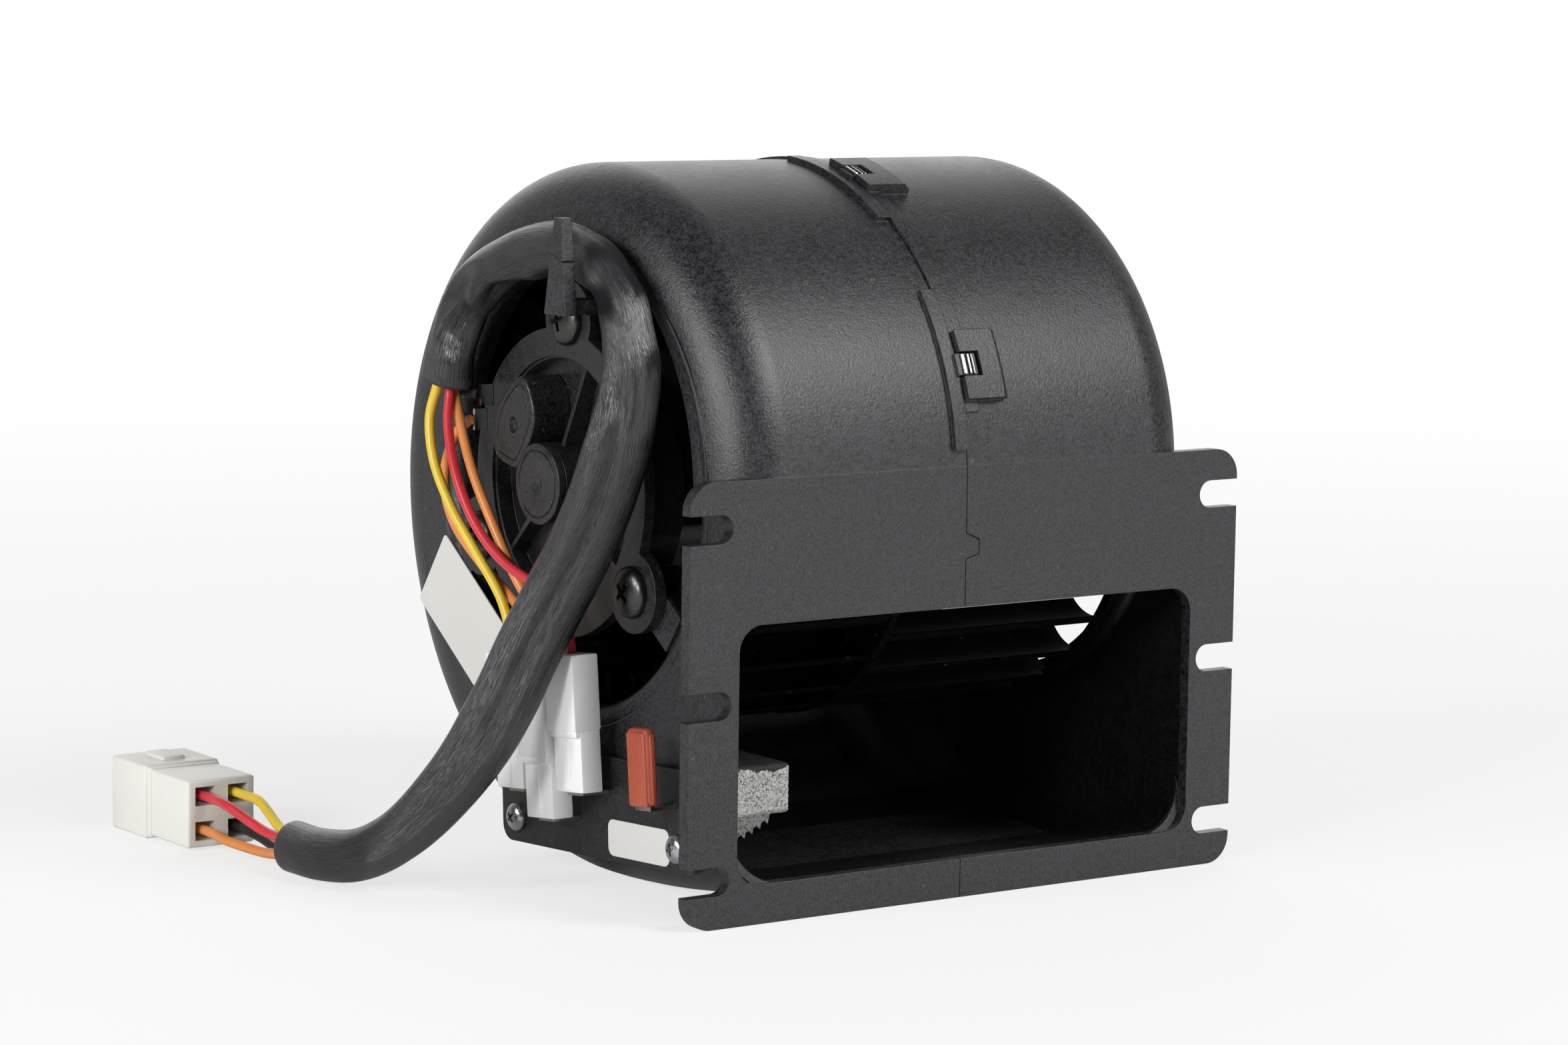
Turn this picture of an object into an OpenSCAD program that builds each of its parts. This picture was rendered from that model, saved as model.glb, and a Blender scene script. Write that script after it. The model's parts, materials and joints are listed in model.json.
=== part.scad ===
// Double-inlet centrifugal blower with a direct-current motor.
// X runs across the outlet, the flange's face is at y = 0 and faces -Y, and z = 0 is the flange's foot.

/* [Impeller] */
// Outside diameter of the bladed wheel
wheel_d = 116; // [90:1:140]
// Length of the wheel along its axis
wheel_len = 114; // [80:1:120]
// Number of blades on each side of the disc
blade_count = 28; // [20:1:36]
// Radial depth of a blade
blade_depth = 12; // [8:0.5:14]
// Radius of a blade's curve
blade_curve = 13; // [11:0.5:18]
// Thickness of a blade
blade_t = 1.3; // [0.8:0.1:2]

/* [Scroll housing] */
// Width of the housing across its two side faces
body_w = 134; // [124:1:160]
// Wall thickness of the mouldings
wall = 2; // [1.6:0.1:3]
// Gap between wheel and front wall
gap_front = 7; // [5:0.5:12]
// Gap between wheel and the top of the scroll
gap_top = 13.5; // [8:0.5:18]
// Gap between wheel and the back of the scroll
gap_back = 23.5; // [16:0.5:30]
// Gap between wheel and the bottom of the scroll
gap_low = 33; // [26:0.5:42]
// Radius of the edge between side face and scroll
edge_r = 15; // [8:0.5:18]
// Rise of the duct floor from the scroll's lowest point to the flange
floor_rise = 6.8; // [5:0.1:9]
// Radius of the two air inlets
inlet_r = 52; // [40:0.5:56]
// Place of the seam between the two halves
seam_x = -2.5; // [-8:0.5:8]
// Gap between the two halves at the seam
seam_gap = 0.2; // [0.1:0.05:0.4]

/* [Outlet flange] */
// Width of the flange
flange_w = 157; // [150:1:190]
// Height of the flange
flange_h = 100; // [90:1:120]
// Thickness of the flange
flange_t = 3.2; // [2:0.1:5]
// Corner radius of the flange
flange_r = 6.5; // [3:0.5:10]
// Width of the outlet opening
outlet_w = 130; // [100:1:132]
// Height of the outlet's lower edge
outlet_low = 9; // [8.5:0.5:16]
// Height of the outlet's upper edge
outlet_top = 67.5; // [50:0.5:72]
// Corner radius of the outlet opening
outlet_r = 6; // [3:0.5:10]
// Width of the six open screw slots
slot_w = 6.5; // [4.5:0.1:8]
// Distance between the round ends of the slots across the flange
slot_span = 140.6; // [138:0.2:150]
// Height between neighbouring slots
slot_pitch = 39.3; // [30:0.1:44]
// Height of the lowest slot
slot_low = 10.8; // [8:0.1:14]

/* [Motor] */
// Diameter of the motor shaft
shaft_d = 6; // [4:0.5:10]
// Outside diameter of the motor case
motor_d = 60; // [50:1:66]
// Length of the motor case
motor_len = 47; // [40:1:47]
// Radius of the circle of motor screws
screw_ring_r = 38.1; // [36:0.1:44]
// Radius of the three lobes of the motor's end frame
lobe_r = 9.5; // [8:0.5:11]
// Diameter of the motor screws' heads
screw_head_d = 12; // [9:0.5:13]
// Diameter of the motor screws' shanks
screw_d = 4; // [3:0.5:5]
// Radius of the bearing boss
boss_r = 9.5; // [8:0.5:12]

/* [Resistor] */
// Length of the resistor's plate
plate_len = 82; // [70:1:90]
// Height of the resistor's plate
plate_h = 24; // [18:1:26]
// Thickness of the resistor's plate
plate_t = 2.4; // [1.5:0.1:4]
// Distance between the resistor's two screws
plate_screw_span = 67.8; // [56:0.2:72]
// Width of a flat terminal
tab_w = 6.3; // [4.8:0.1:8]
// Thickness of a flat terminal
tab_t = 0.8; // [0.5:0.1:1.2]

/* [Harness] */
// Diameter of the black sleeve
sleeve_d = 12; // [9:0.5:12]
// Diameter of a wire
wire_d = 2.4; // [1.6:0.1:2.8]
// Width of the four-way plug
plug_w = 20; // [18:0.5:26]
// Height of the four-way plug
plug_h = 18; // [16:0.5:24]
// Length of the four-way plug
plug_len = 38; // [30:1:48]

/* [Hidden] */
$fn = 96;
// Clearances
clear = 0.3;
run = 0.05;
bolt_fit = 0.1;
// Scroll: three arcs through the front, top, back and bottom points
wheel_r = wheel_d / 2;
axis_y = wheel_r + gap_front + wall;
top_reach = wheel_r + gap_top + wall;
back_reach = wheel_r + gap_back + wall;
axis_z = wheel_r + gap_low + wall;
arc_shift = 5;
r_front = axis_y + arc_shift;
r_back = back_reach - arc_shift;
r_low = axis_z + (top_reach - r_back);
c_front = [r_front, axis_z + top_reach - r_front];
c_back = [r_front, axis_z + top_reach - r_back];
c_low = [axis_y + back_reach - r_low, c_back[1]];
r_floor = round(c_low[0] * c_low[0] / (2 * floor_rise) + floor_rise / 2);
c_floor = [c_low[0], c_low[1] - r_low + r_floor];
side_x = body_w / 2;
// Screw circle of the motor, seen from the left side
screw_turn = [4.84, 124.84, 244.84];
// Motor stations along X
frame_x = -side_x - 3;
cup_x = frame_x + 5;
cup_r = 29.4;
cap_x = -side_x - 9;
case_x = cup_x + 2.6;
terminal_at = [[99.2, 105], [96.4, 111]];
case_end = case_x + motor_len;
disc_x = -11;
shaft_x = cap_x + 3;
shaft_end = 9;
// Resistor
plate_x = -side_x - plate_t;
plate_c = [50.6, 13.5];
plate_lean = 3.1;
tab_x = -side_x - 9.4;
pack_len = 56;
pack_low = -0.6;
pack_top = 16.4;
seat_depth = 9;
// Tab housings, each [y, z] of its foot
foot_red = [48.2, 24];
foot_orange = [60.6, 16];
foot_yellow = [73.7, 21];
foot_fuse = [20.2, 25];
housing_lean = 6;
// Routes, each point [x, y, z]
sleeve_route = [[-78, 104, 114], [-77.5, 100, 128], [-76, 90, 139], [-74.5, 76, 145], [-73.6, 61, 147.5],
    [-73.6, 46, 145], [-73.6, 35, 136], [-74.5, 30, 123], [-77, 30, 109], [-79, 34, 95],
    [-81, 40, 82], [-84, 46, 70], [-88.5, 50, 58], [-93, 53, 46], [-98, 57, 34.5],
    [-104, 63, 23], [-110, 71, 13.5], [-115, 80, 8], [-118, 92, 6.2], [-119, 104, 6.2]];
route_yellow = [[-80, 105, 113], [-81.5, 106, 105], [-82, 103, 95], [-81, 97, 85], [-79, 89, 75],
    [-77, 81, 65], [-76.4, 77.3, 56], [-76.4, 76.4, 47.5]];
route_red = [[-77.6, 103, 112.8], [-80, 100, 104], [-82, 93, 93], [-82, 84, 82], [-80.5, 73, 74],
    [-77.5, 58, 68], [-76.4, 52.2, 60], [-76.4, 51.1, 51]];
route_orange = [[-75.4, 105, 113], [-77.5, 98, 103], [-79, 90, 93], [-79, 82, 83], [-78, 74, 72],
    [-77, 65.2, 62], [-76.4, 62.6, 52], [-76.4, 61.6, 43]];
route_motor_orange = [[-73.8, 100, 105], [-74.8, 106, 100], [-75.6, 109, 90], [-75.8, 104, 80], [-75, 92, 71],
    [-74.4, 77, 63], [-75.8, 68.4, 57.5], [-76.4, 66.3, 53], [-76.4, 65.2, 43]];
route_motor_black = [[-75.2, 101.2, 111.6], [-74.6, 99.6, 111.4], [-74, 97.3, 111.2]];
tail_start = [-119, 104.3, 6.2];
tail_spread = 1.9;

// Helpers
module along_x(x0, x1) {
    translate([x0, 0, 0]) rotate([90, 0, 90]) linear_extrude(x1 - x0) children();
}
module turned(start = 0, angle = 360) {
    rotate([0, 90, 0]) rotate_extrude(angle = angle, start = start) children();
}
module on_axis() {
    translate([0, axis_y, axis_z]) children();
}
module disc_x(r, x0, x1) {
    translate([x0, 0, 0]) rotate([0, 90, 0]) cylinder(r = r, h = x1 - x0);
}
// Turns a part drawn at the top of the wheel towards the front
module turned_to(a) {
    rotate([a, 0, 0]) children();
}
// Tube along a route: rings square to the path, joined by flat sides
function unit(v) = v / norm(v);
function heading(p, i) = unit(p[min(i + 1, len(p) - 1)] - p[max(i - 1, 0)]);
function side_of(d) = unit(cross(d, abs(d[0]) < 0.8 ? [1, 0, 0] : [0, 1, 0]));
function ring(c, d, r, n) = let (u = side_of(d), v = cross(d, u))
    [for (k = [0:n - 1]) c + r * (u * cos(360 * k / n) + v * sin(360 * k / n))];
module tube(p, d, n) {
    rings = [for (i = [0:len(p) - 1]) each ring(p[i], heading(p, i), d / 2, n)];
    last = len(p) - 1;
    sides = [for (i = [0:last - 1], k = [0:n - 1])
        each [[i * n + k, i * n + (k + 1) % n, (i + 1) * n + k],
              [i * n + (k + 1) % n, (i + 1) * n + (k + 1) % n, (i + 1) * n + k]]];
    ends = [[for (k = [0:n - 1]) n - 1 - k], [for (k = [0:n - 1]) last * n + k]];
    polyhedron(points = rings, faces = [for (f = concat(sides, ends)) [for (q = [len(f) - 1:-1:0]) f[q]]]);
}

// Scroll section as [radius, distance from the side face], with a rounded edge
module section_fill(r, e, h0, h1, r_min) {
    intersection() {
        translate([r_min, h0]) square([r - r_min, h1 - h0]);
        union() {
            translate([r - e, h0 + e]) circle(e);
            translate([r_min, h0]) square([r - e - r_min, h1 - h0]);
            translate([r_min, h0 + e]) square([r - r_min, h1 - h0 - e]);
        }
    }
}
module section_wall(r, h1) {
    r_min = r - edge_r - 1;
    difference() {
        section_fill(r, edge_r, 0, h1, r_min);
        section_fill(r - wall, edge_r - wall, wall, h1 + 1, r_min - 1);
    }
}
// Side face outline without its rounded edge
mouth_y = flange_t / 2;
module side_outline() {
    big = 2 * r_floor;
    intersection() {
        translate(c_front) circle(r_front - edge_r);
        translate([c_front[0] - big, c_front[1] - 1]) square([big, big]);
    }
    intersection() {
        translate(c_back) circle(r_back - edge_r);
        translate(c_back) square(big);
    }
    intersection() {
        translate(c_low) circle(r_low - edge_r);
        translate([c_low[0], c_low[1] - big]) square([big, big]);
    }
    intersection() {
        translate(c_floor) circle(r_floor - edge_r);
        translate([mouth_y, c_low[1] - big]) square([c_low[0] - mouth_y, big]);
    }
    translate([mouth_y, c_low[1] - 1]) square([c_front[0] - mouth_y, c_front[1] - c_low[1] + 1]);
}
// One half of the scroll, drawn with its side face at x = 0 and its seam at x = w; children cut its side face
module scroll_half(w) {
    floor_turn = asin((c_low[0] - 0.6) / r_floor);
    translate([0, c_front[0], c_front[1]]) turned(180, 90) section_wall(r_front, w);
    translate([0, c_back[0], c_back[1]]) turned(90, 90) section_wall(r_back, w);
    difference() {
        translate([0, c_low[0], c_low[1]]) turned(0, 90) section_wall(r_low, w);
        along_x(-1, edge_r) children();
    }
    difference() {
        translate([0, c_floor[0], c_floor[1]]) turned(-floor_turn, floor_turn) section_wall(r_floor, w);
        along_x(-1, edge_r) children();
    }
    along_x(0, wall) difference() {
        side_outline();
        translate([axis_y, axis_z]) circle(inlet_r + 4);
        children();
    }
    on_axis() turned() inlet_lip();
    translate([0, 0, c_front[1] - wall]) linear_extrude(wall) difference() {
        translate([0, mouth_y]) square([edge_r, edge_r - mouth_y]);
        translate([edge_r, edge_r]) circle(edge_r - wall);
    }
    along_x(wall / 2, w) difference() {
        translate([mouth_y, outlet_top]) square([14, c_front[1] - wall - outlet_top]);
        translate([axis_y, axis_z]) circle(wheel_r + 4.5);
    }
}
// Rolled lip of an inlet
module inlet_lip() {
    intersection() {
        translate([inlet_r + 4, 4]) difference() {
            circle(4);
            circle(4 - wall);
        }
        translate([inlet_r, 0]) square(4);
    }
    translate([inlet_r + 4, 0]) square([0.5, wall]);
    translate([inlet_r, 4]) square([wall, 3]);
}
module flange_outline() {
    difference() {
        translate([-flange_w / 2, 0]) rounded(flange_w, flange_h, flange_r);
        translate([-outlet_w / 2, outlet_low]) rounded(outlet_w, outlet_top - outlet_low, outlet_r);
        for (side = [-1, 1], k = [0:2]) translate([side * slot_span / 2, slot_low + k * slot_pitch]) {
            circle(d = slot_w);
            translate([side > 0 ? 0 : -20, -slot_w / 2]) square([20, slot_w]);
        }
    }
}
module rounded(w, h, r) {
    translate([r, 0]) square([w - 2 * r, h]);
    translate([0, r]) square([w, h - 2 * r]);
    for (x = [r, w - r], y = [r, h - r]) translate([x, y]) circle(r);
}
// The left half's side of the seam on the flange, and the small locating step in its front layer
module seam_side() {
    translate([-flange_w, -1]) square([flange_w + seam_x, flange_h + 2]);
}
module seam_step(grow) {
    translate([seam_x - 0.3, 0])
        polygon([[0, 78.6 - grow], [0, 84.6 + grow], [4 + grow, 82.8 + grow], [4 + grow, 79.6 - grow]]);
}
// A layer of the flange between two depths
module flange_layer(y0, y1) {
    translate([0, y1, 0]) rotate([90, 0, 0]) linear_extrude(y1 - y0) children();
}
// Snap clips: [centre of arc, radius, turn] with the turn counted from the foot towards the back
clips = [[c_front, r_front, 199], [c_front, r_front, 247.5], [c_back, r_back, 128], [c_low, r_low, 48]];
clip_len = 16;
module at_clip(c) {
    translate([0, c[0][0], c[0][1]]) children();
}
module clip_arc(c, length, r0, r1, x0, x1) {
    a = length / c[1] * 180 / PI;
    turned(c[2] - a / 2, a) translate([c[1] + r0, x0]) square([r1 - r0, x1 - x0]);
}
module clip_catch(c) {
    at_clip(c) {
        clip_arc(c, 2.4 * clip_len, -0.6, 1.3, seam_x - 3.8, seam_x - seam_gap / 2);
        clip_arc(c, 5, 1.0, 2.2, seam_x - 1, seam_x + 4.6);
    }
}
module clip_bracket(c) {
    a = clip_len / c[1] * 180 / PI;
    difference() {
        at_clip(c) turned(c[2] - a / 2, a) translate([c[1], seam_x + seam_gap])
            polygon([[-0.6, 0], [2.8, 0], [2.8, 10.5], [1.2, 12.3], [-0.6, 12.3]]);
        at_clip(c) clip_arc(c, 5.6, 0.7, 4, seam_x - 1, seam_x + 5.4);
    }
}
module seam_strip() {
    translate([0, c_front[0], c_front[1]]) turned(180, 76) strip(r_front);
    translate([0, c_back[0], c_back[1]]) turned(90, 90) strip(r_back);
    translate([0, c_low[0], c_low[1]]) turned(12, 78) strip(r_low);
}
module strip(r) {
    translate([r - 0.5, seam_x + seam_gap / 2]) square([1.2, 4]);
}

module left_housing() color("#242426") {
    w = side_x + seam_x - seam_gap / 2;
    translate([-side_x, 0, 0]) scroll_half(w) resistor_cut();
    flange_layer(0, flange_t) intersection() {
        flange_outline();
        translate([-seam_gap / 2, 0]) seam_side();
    }
    flange_layer(0, mouth_y - seam_gap) seam_step(0);
    motor_arms();
    sleeve_hook();
    for (c = clips) clip_catch(c);
    resistor_seat();
}
module right_housing() color("#262628") {
    w = side_x - seam_x - seam_gap / 2;
    mirror([1, 0, 0]) translate([-side_x, 0, 0]) scroll_half(w);
    flange_layer(mouth_y, flange_t) difference() {
        flange_outline();
        translate([seam_gap / 2, 0]) seam_side();
    }
    flange_layer(0, mouth_y) difference() {
        flange_outline();
        translate([seam_gap / 2, 0]) seam_side();
        seam_step(seam_gap);
    }
    seam_strip();
    for (c = clips) clip_bracket(c);
}
// Three arms that carry the motor in the left inlet
module motor_arms() {
    boss = screw_ring_r - motor_d / 2 - 2 - clear;
    on_axis() for (a = screw_turn) turned_to(a) difference() {
        union() {
            translate([-side_x, -5, screw_ring_r]) cube([5, 10, inlet_r + 1 - screw_ring_r]);
            translate([0, 0, screw_ring_r]) disc_x(boss, -side_x, -side_x + 9);
        }
        translate([0, 0, screw_ring_r]) disc_x(screw_d / 2 + bolt_fit, -side_x - 1, -side_x + 12);
    }
}
// Hook that holds the sleeve against the side face
module sleeve_hook() {
    reach = sleeve_d + 1.2;
    translate([-side_x - reach - 3, 45, 133.6]) cube([reach + 4, 7, 3.4]);
    translate([-side_x, 45, 133.6]) cube([4, 7, 12.2]);
    along_x(-side_x - reach - 3, -side_x - reach) polygon([[44, 133.6], [53, 133.6], [49, 155.5], [46.4, 155.5]]);
}
module impeller() color("#1d1d1f") {
    r_in = wheel_r - blade_depth;
    end = wheel_len / 2;
    bore = shaft_d / 2 + run / 2;
    on_axis() {
        along_x(-end + 0.5, disc_x + 0.8) blades(r_in, 0);
        along_x(disc_x + 1.2, end - 0.5) blades(r_in, 180 / blade_count);
        for (x = [-end, end - 3]) turned() translate([wheel_r - 2, x]) square([2.4, 3]);
        turned() {
            translate([bore, disc_x]) square([wheel_r + 0.4 - bore, 2]);
            translate([bore, disc_x - 1]) square([9 - bore, 18]);
        }
        for (k = [0:5]) rotate([60 * k, 0, 0]) translate([disc_x + 1, -0.8, 8]) cube([8, 1.6, 20]);
    }
}
module blades(r_in, turn) {
    for (k = [0:blade_count - 1]) rotate(turn + 360 * k / blade_count) intersection() {
        difference() {
            circle(wheel_r);
            circle(r_in);
        }
        translate([blade_curve, r_in]) difference() {
            circle(blade_curve);
            circle(blade_curve - blade_t);
        }
        translate([-1, r_in - 2]) square([blade_curve * 0.75, blade_depth + 3]);
    }
}
module motor_shaft() color("#b9bcc0") on_axis() disc_x(shaft_d / 2, shaft_x, shaft_end);
module motor_end_frame() color("#202022") on_axis() {
    plate_back = -side_x - 0.1;
    along_x(frame_x, plate_back) difference() {
        union() {
            circle(36);
            for (a = screw_turn) rotate(a) translate([0, screw_ring_r]) circle(lobe_r);
        }
        circle(cup_r);
        for (a = screw_turn) rotate(a) translate([0, screw_ring_r]) circle(screw_d / 2 + bolt_fit);
        for (p = terminal_at) translate([p[0] - axis_y - 0.5, p[1] - axis_z - 2.6]) square([1, 5.2]);
    }
    turned() {
        translate([cup_r - 0.5, frame_x + 1]) square([motor_d / 2 + 2.5 - cup_r, cup_x + 2.5 - frame_x - 1]);
        translate([motor_d / 2 + clear / 3, cup_x + 2]) square([1.9, 6.5]);
        translate([boss_r - 2.3, cup_x]) square([cup_r + 2.8 - boss_r, 2.5]);
        translate([boss_r - 2.3, cap_x + 2.1]) square([2.3, cup_x + 1 - cap_x - 2.1]);
    }
    for (a = [18, 72, 128, 178, 232]) turned_to(a) cup_rib();
}
module cup_rib() {
    translate([0, 0.6, 0]) rotate([90, 0, 0]) linear_extrude(1.2)
        polygon([[cap_x + 5, boss_r - 1], [frame_x + 1.5, cup_r + 0.5], [cup_x + 1, cup_r + 0.5], [cup_x + 1, boss_r - 1]]);
}
module motor_case() color("#8b8d90") on_axis() difference() {
    union() {
        disc_x(motor_d / 2, case_x, case_end);
        disc_x(9, case_end - 1, case_end + 2.5);
    }
    disc_x(motor_d / 2 - 1.5, case_x - 1, case_end - 1.5);
    disc_x(6.5, case_end - 3, case_end + 4);
}
module brush_cover() color("#232325") on_axis() turned_to(-52) difference() {
    along_x(cap_x + 0.6, cup_x - clear) hull() {
        translate([0, 14.2]) circle(3.2, $fn = 32);
        translate([-8.6, 21.5]) circle(3, $fn = 32);
        translate([8.6, 21.5]) circle(3, $fn = 32);
        translate([0, 23.6]) circle(3, $fn = 32);
    }
    translate([0, 0, 19]) disc_x(1.8, cap_x, cap_x + 1.2);
}
module bearing_cap() color("#232325") on_axis() turned() difference() {
    translate([0, cap_x]) square([boss_r, 2]);
    translate([boss_r - 1.7, cap_x - 1]) square([0.4, 1.3]);
    translate([0, cap_x - 1]) square([1.8, 1.5]);
}
module motor_screws() color("#2c2c2e") on_axis() for (a = screw_turn) turned_to(a)
    translate([0, 0, screw_ring_r]) difference() {
        union() {
            disc_x(screw_head_d / 2, frame_x - 3.2, frame_x - 0.1);
            disc_x(screw_d / 2, frame_x - 1, -side_x + 8);
        }
        for (t = [0, 90]) rotate([t, 0, 0]) translate([frame_x - 4, -0.6, -2.6]) cube([2.4, 1.2, 5.2]);
    }
module motor_terminals() color("#c9ccd0") for (p = terminal_at)
    translate([frame_x - 3.4, p[0] - 0.4, p[1] - 2.5]) cube([6.2, 0.8, 5]);
module magnets() color("#3a3a3c") on_axis() for (s = [0, 180]) turned(s + 30, 120)
    translate([motor_d / 2 - 7.3, case_x + 14]) square([5.7, motor_len - 19]);
module armature_core() color("#6d6f72") on_axis() difference() {
    disc_x(21.6, case_x + 17, case_end - 9);
    disc_x(shaft_d / 2 + run / 2, case_x + 16, case_end - 8);
    for (k = [0:11]) rotate([30 * k, 0, 0]) translate([case_x + 16, -1.5, 12]) cube([motor_len, 3, 12]);
}
module windings() color("#b06a34") on_axis() for (x = [case_x + 11.6, case_end - 8.7])
    turned() translate([shaft_d / 2 + 2, x]) square([14, 5]);
module commutator() color("#b87333") on_axis() difference() {
    disc_x(9, case_x + 1.5, case_x + 11.3);
    disc_x(shaft_d / 2 + run / 2, case_x, case_x + 12);
    for (k = [0:11]) rotate([30 * k, 0, 0]) translate([case_x + 1, -0.3, 7.6]) cube([11, 0.6, 3]);
}
module brushes() color("#2f2f31") on_axis() for (s = [0, 180]) rotate([s - 52, 0, 0])
    translate([case_x + 2.6, -2.5, 9 + clear]) cube([7.4, 5, 8]);
module brush_springs() color("#a7a9ac") on_axis() for (s = [0, 180]) rotate([s - 52, 0, 0])
    translate([case_x + 6.3, 0, 17.5 + clear]) cylinder(r = 1.8, h = 5.5);
module brush_card() color("#6b4a2c") on_axis() difference() {
    disc_x(motor_d / 2 - 2, case_x, case_x + 1.2);
    disc_x(boss_r + 0.8, case_x - 1, case_x + 2);
}
module rear_bearing() color("#a98a5a") on_axis() difference() {
    disc_x(boss_r - 2.3 - clear / 3, shaft_x + 1, cup_x + 3.4);
    disc_x(shaft_d / 2 + run, shaft_x, cup_x + 5);
}
module front_bearing() color("#a98a5a") on_axis() difference() {
    disc_x(6.5 - clear / 6, case_end - 1.4, case_end + 2.3);
    disc_x(shaft_d / 2 + run, case_end - 3, case_end + 5);
}
module shaft_clip() color("#9a9da1") on_axis() difference() {
    disc_x(7, disc_x + 17.1, disc_x + 18);
    disc_x(shaft_d / 2 + run / 2, disc_x + 16, disc_x + 19);
}
// Resistor: plate on the side face, block and coil in the air stream
module on_plate() {
    translate([0, plate_c[0], plate_c[1]]) rotate([-plate_lean, 0, 0]) children();
}
module plate_screws_at() {
    on_plate() for (s = [-1, 1]) translate([-side_x, s * plate_screw_span / 2, 0]) children();
}
module resistor_cut() {
    translate(plate_c) rotate(-plate_lean) {
        translate([-pack_len / 2, pack_low]) square([pack_len, pack_top - pack_low]);
        for (s = [-1, 1]) translate([s * plate_screw_span / 2, 0]) circle(1.5 + bolt_fit);
    }
}
// Flat seat and two screw bosses behind the resistor's plate
module resistor_seat() {
    on_plate() along_x(-side_x, -side_x + seat_depth) difference() {
        translate([-plate_len / 2 + 1, -5]) rounded(plate_len - 2, pack_low + 5, 2);
        for (s = [-1, 1]) translate([s * plate_screw_span / 2, 0]) circle(2.4);
    }
    plate_screws_at() turned() translate([1.5 + bolt_fit, 0]) square([1.7, seat_depth]);
}
module resistor_plate() color("#1f1f21") on_plate() difference() {
    union() {
        along_x(plate_x, -side_x) translate([-plate_len / 2, -6]) rounded(plate_len, plate_h, 4);
        translate([-side_x - 1, -pack_len / 2 + clear, pack_low + clear])
            cube([wall + 2.4, pack_len - 2 * clear, pack_top - pack_low - 2 * clear]);
    }
    for (s = [-1, 1]) translate([0, s * plate_screw_span / 2, 0]) disc_x(1.8, plate_x - 1, -side_x + 1);
}
module resistor_block() color("#b4b4b2") on_plate()
    translate([-side_x + wall + 1.4, -pack_len / 2 + 0.6, 7]) cube([23.6, pack_len - 1.2, 8.8]);
module resistor_coil() color("#9a9a98") on_plate() difference() {
    translate([-side_x + wall + 1.4, -pack_len / 2 + 1, pack_low + 0.5]) cube([20, pack_len - 2, 6.4 - pack_low]);
    for (k = [0:15]) translate([-side_x + wall + 12, -pack_len / 2 + 3 + 3.3 * k, pack_low]) cube([10, 1.4, 4.6]);
}
module tab(foot, height) {
    at_foot(foot) {
        translate([-tab_t / 2, -tab_w / 2, -tab_t]) cube([tab_t, tab_w, height]);
        translate([-tab_t / 2, -tab_w / 2, -tab_t]) cube([plate_x - tab_x + tab_t / 2, tab_w, tab_t]);
    }
}
module at_foot(foot) {
    translate([tab_x, foot[0], foot[1]]) rotate([-housing_lean, 0, 0]) children();
}
module resistor_tabs() color("#c6b48a") {
    for (f = [foot_red, foot_orange, foot_yellow]) tab(f, 11);
    tab(foot_fuse, 8);
}
module thermal_fuse() color("#8f3b27") at_foot(foot_fuse) difference() {
    along_x(-1.7, 1.7) translate([-4.3, 0.2]) rounded(8.6, 16.4, 1.5);
    translate([-tab_t / 2 - 0.1, -tab_w / 2 - 0.1, -1]) cube([tab_t + 0.2, tab_w + 0.2, 9]);
}
module resistor_screws() color("#c2c4c8") plate_screws_at() translate([side_x, 0, 0]) difference() {
    union() {
        disc_x(3.4, plate_x - 2.6, plate_x - 0.1);
        disc_x(1.5, plate_x - 1, -side_x + 8);
    }
    for (t = [0, 90]) rotate([t, 0, 0]) translate([plate_x - 3, -0.4, -1.6]) cube([1.6, 0.8, 3.2]);
}
// Stepped insulating housing on a flat terminal
module tab_housing(foot, height, wires) {
    at_foot(foot) difference() {
        union() {
            translate([-2.1, -5.8, 0]) cube([5.6, 11.6, 15]);
            translate([-3.6, -6.1, 13]) cube([7.2, 12.2, height - 13]);
        }
        translate([-0.8, -3.6, -1]) cube([1.6, 7.2, 12]);
        for (y = wires) translate([0, y, height - 9]) cylinder(r = wire_d / 2 + clear, h = 10);
    }
}
module tab_housing_red() color("#eceef0") tab_housing(foot_red, 32, [0]);
module tab_housing_orange() color("#eceef0") tab_housing(foot_orange, 32, [-1.8, 1.8]);
module tab_housing_yellow() color("#eceef0") tab_housing(foot_yellow, 32, [0]);
module side_label() color("#f1f1ef") translate([0, 109, 52]) rotate([35, 0, 0])
    along_x(-side_x - 0.35, -side_x - 0.05) translate([-24, -10]) rounded(48, 21, 1);
module resistor_label() color("#f4f4f2") on_plate()
    along_x(plate_x - 0.3, plate_x - 0.05) translate([-30.4, -4.6]) rounded(25, 8.4, 2);
module harness_sleeve() color("#161617") tube(sleeve_route, sleeve_d, 12);
module lead_red() color("#c8202c") tube(route_red, wire_d, 8);
module lead_yellow() color("#e8c21c") tube(route_yellow, wire_d, 8);
module lead_orange() color("#dd6f2a") tube(route_orange, wire_d, 8);
module lead_motor_orange() color("#dd6f2a") tube(route_motor_orange, wire_d, 8);
module lead_motor_black() color("#1a1a1b") tube(route_motor_black, wire_d, 8);
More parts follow.
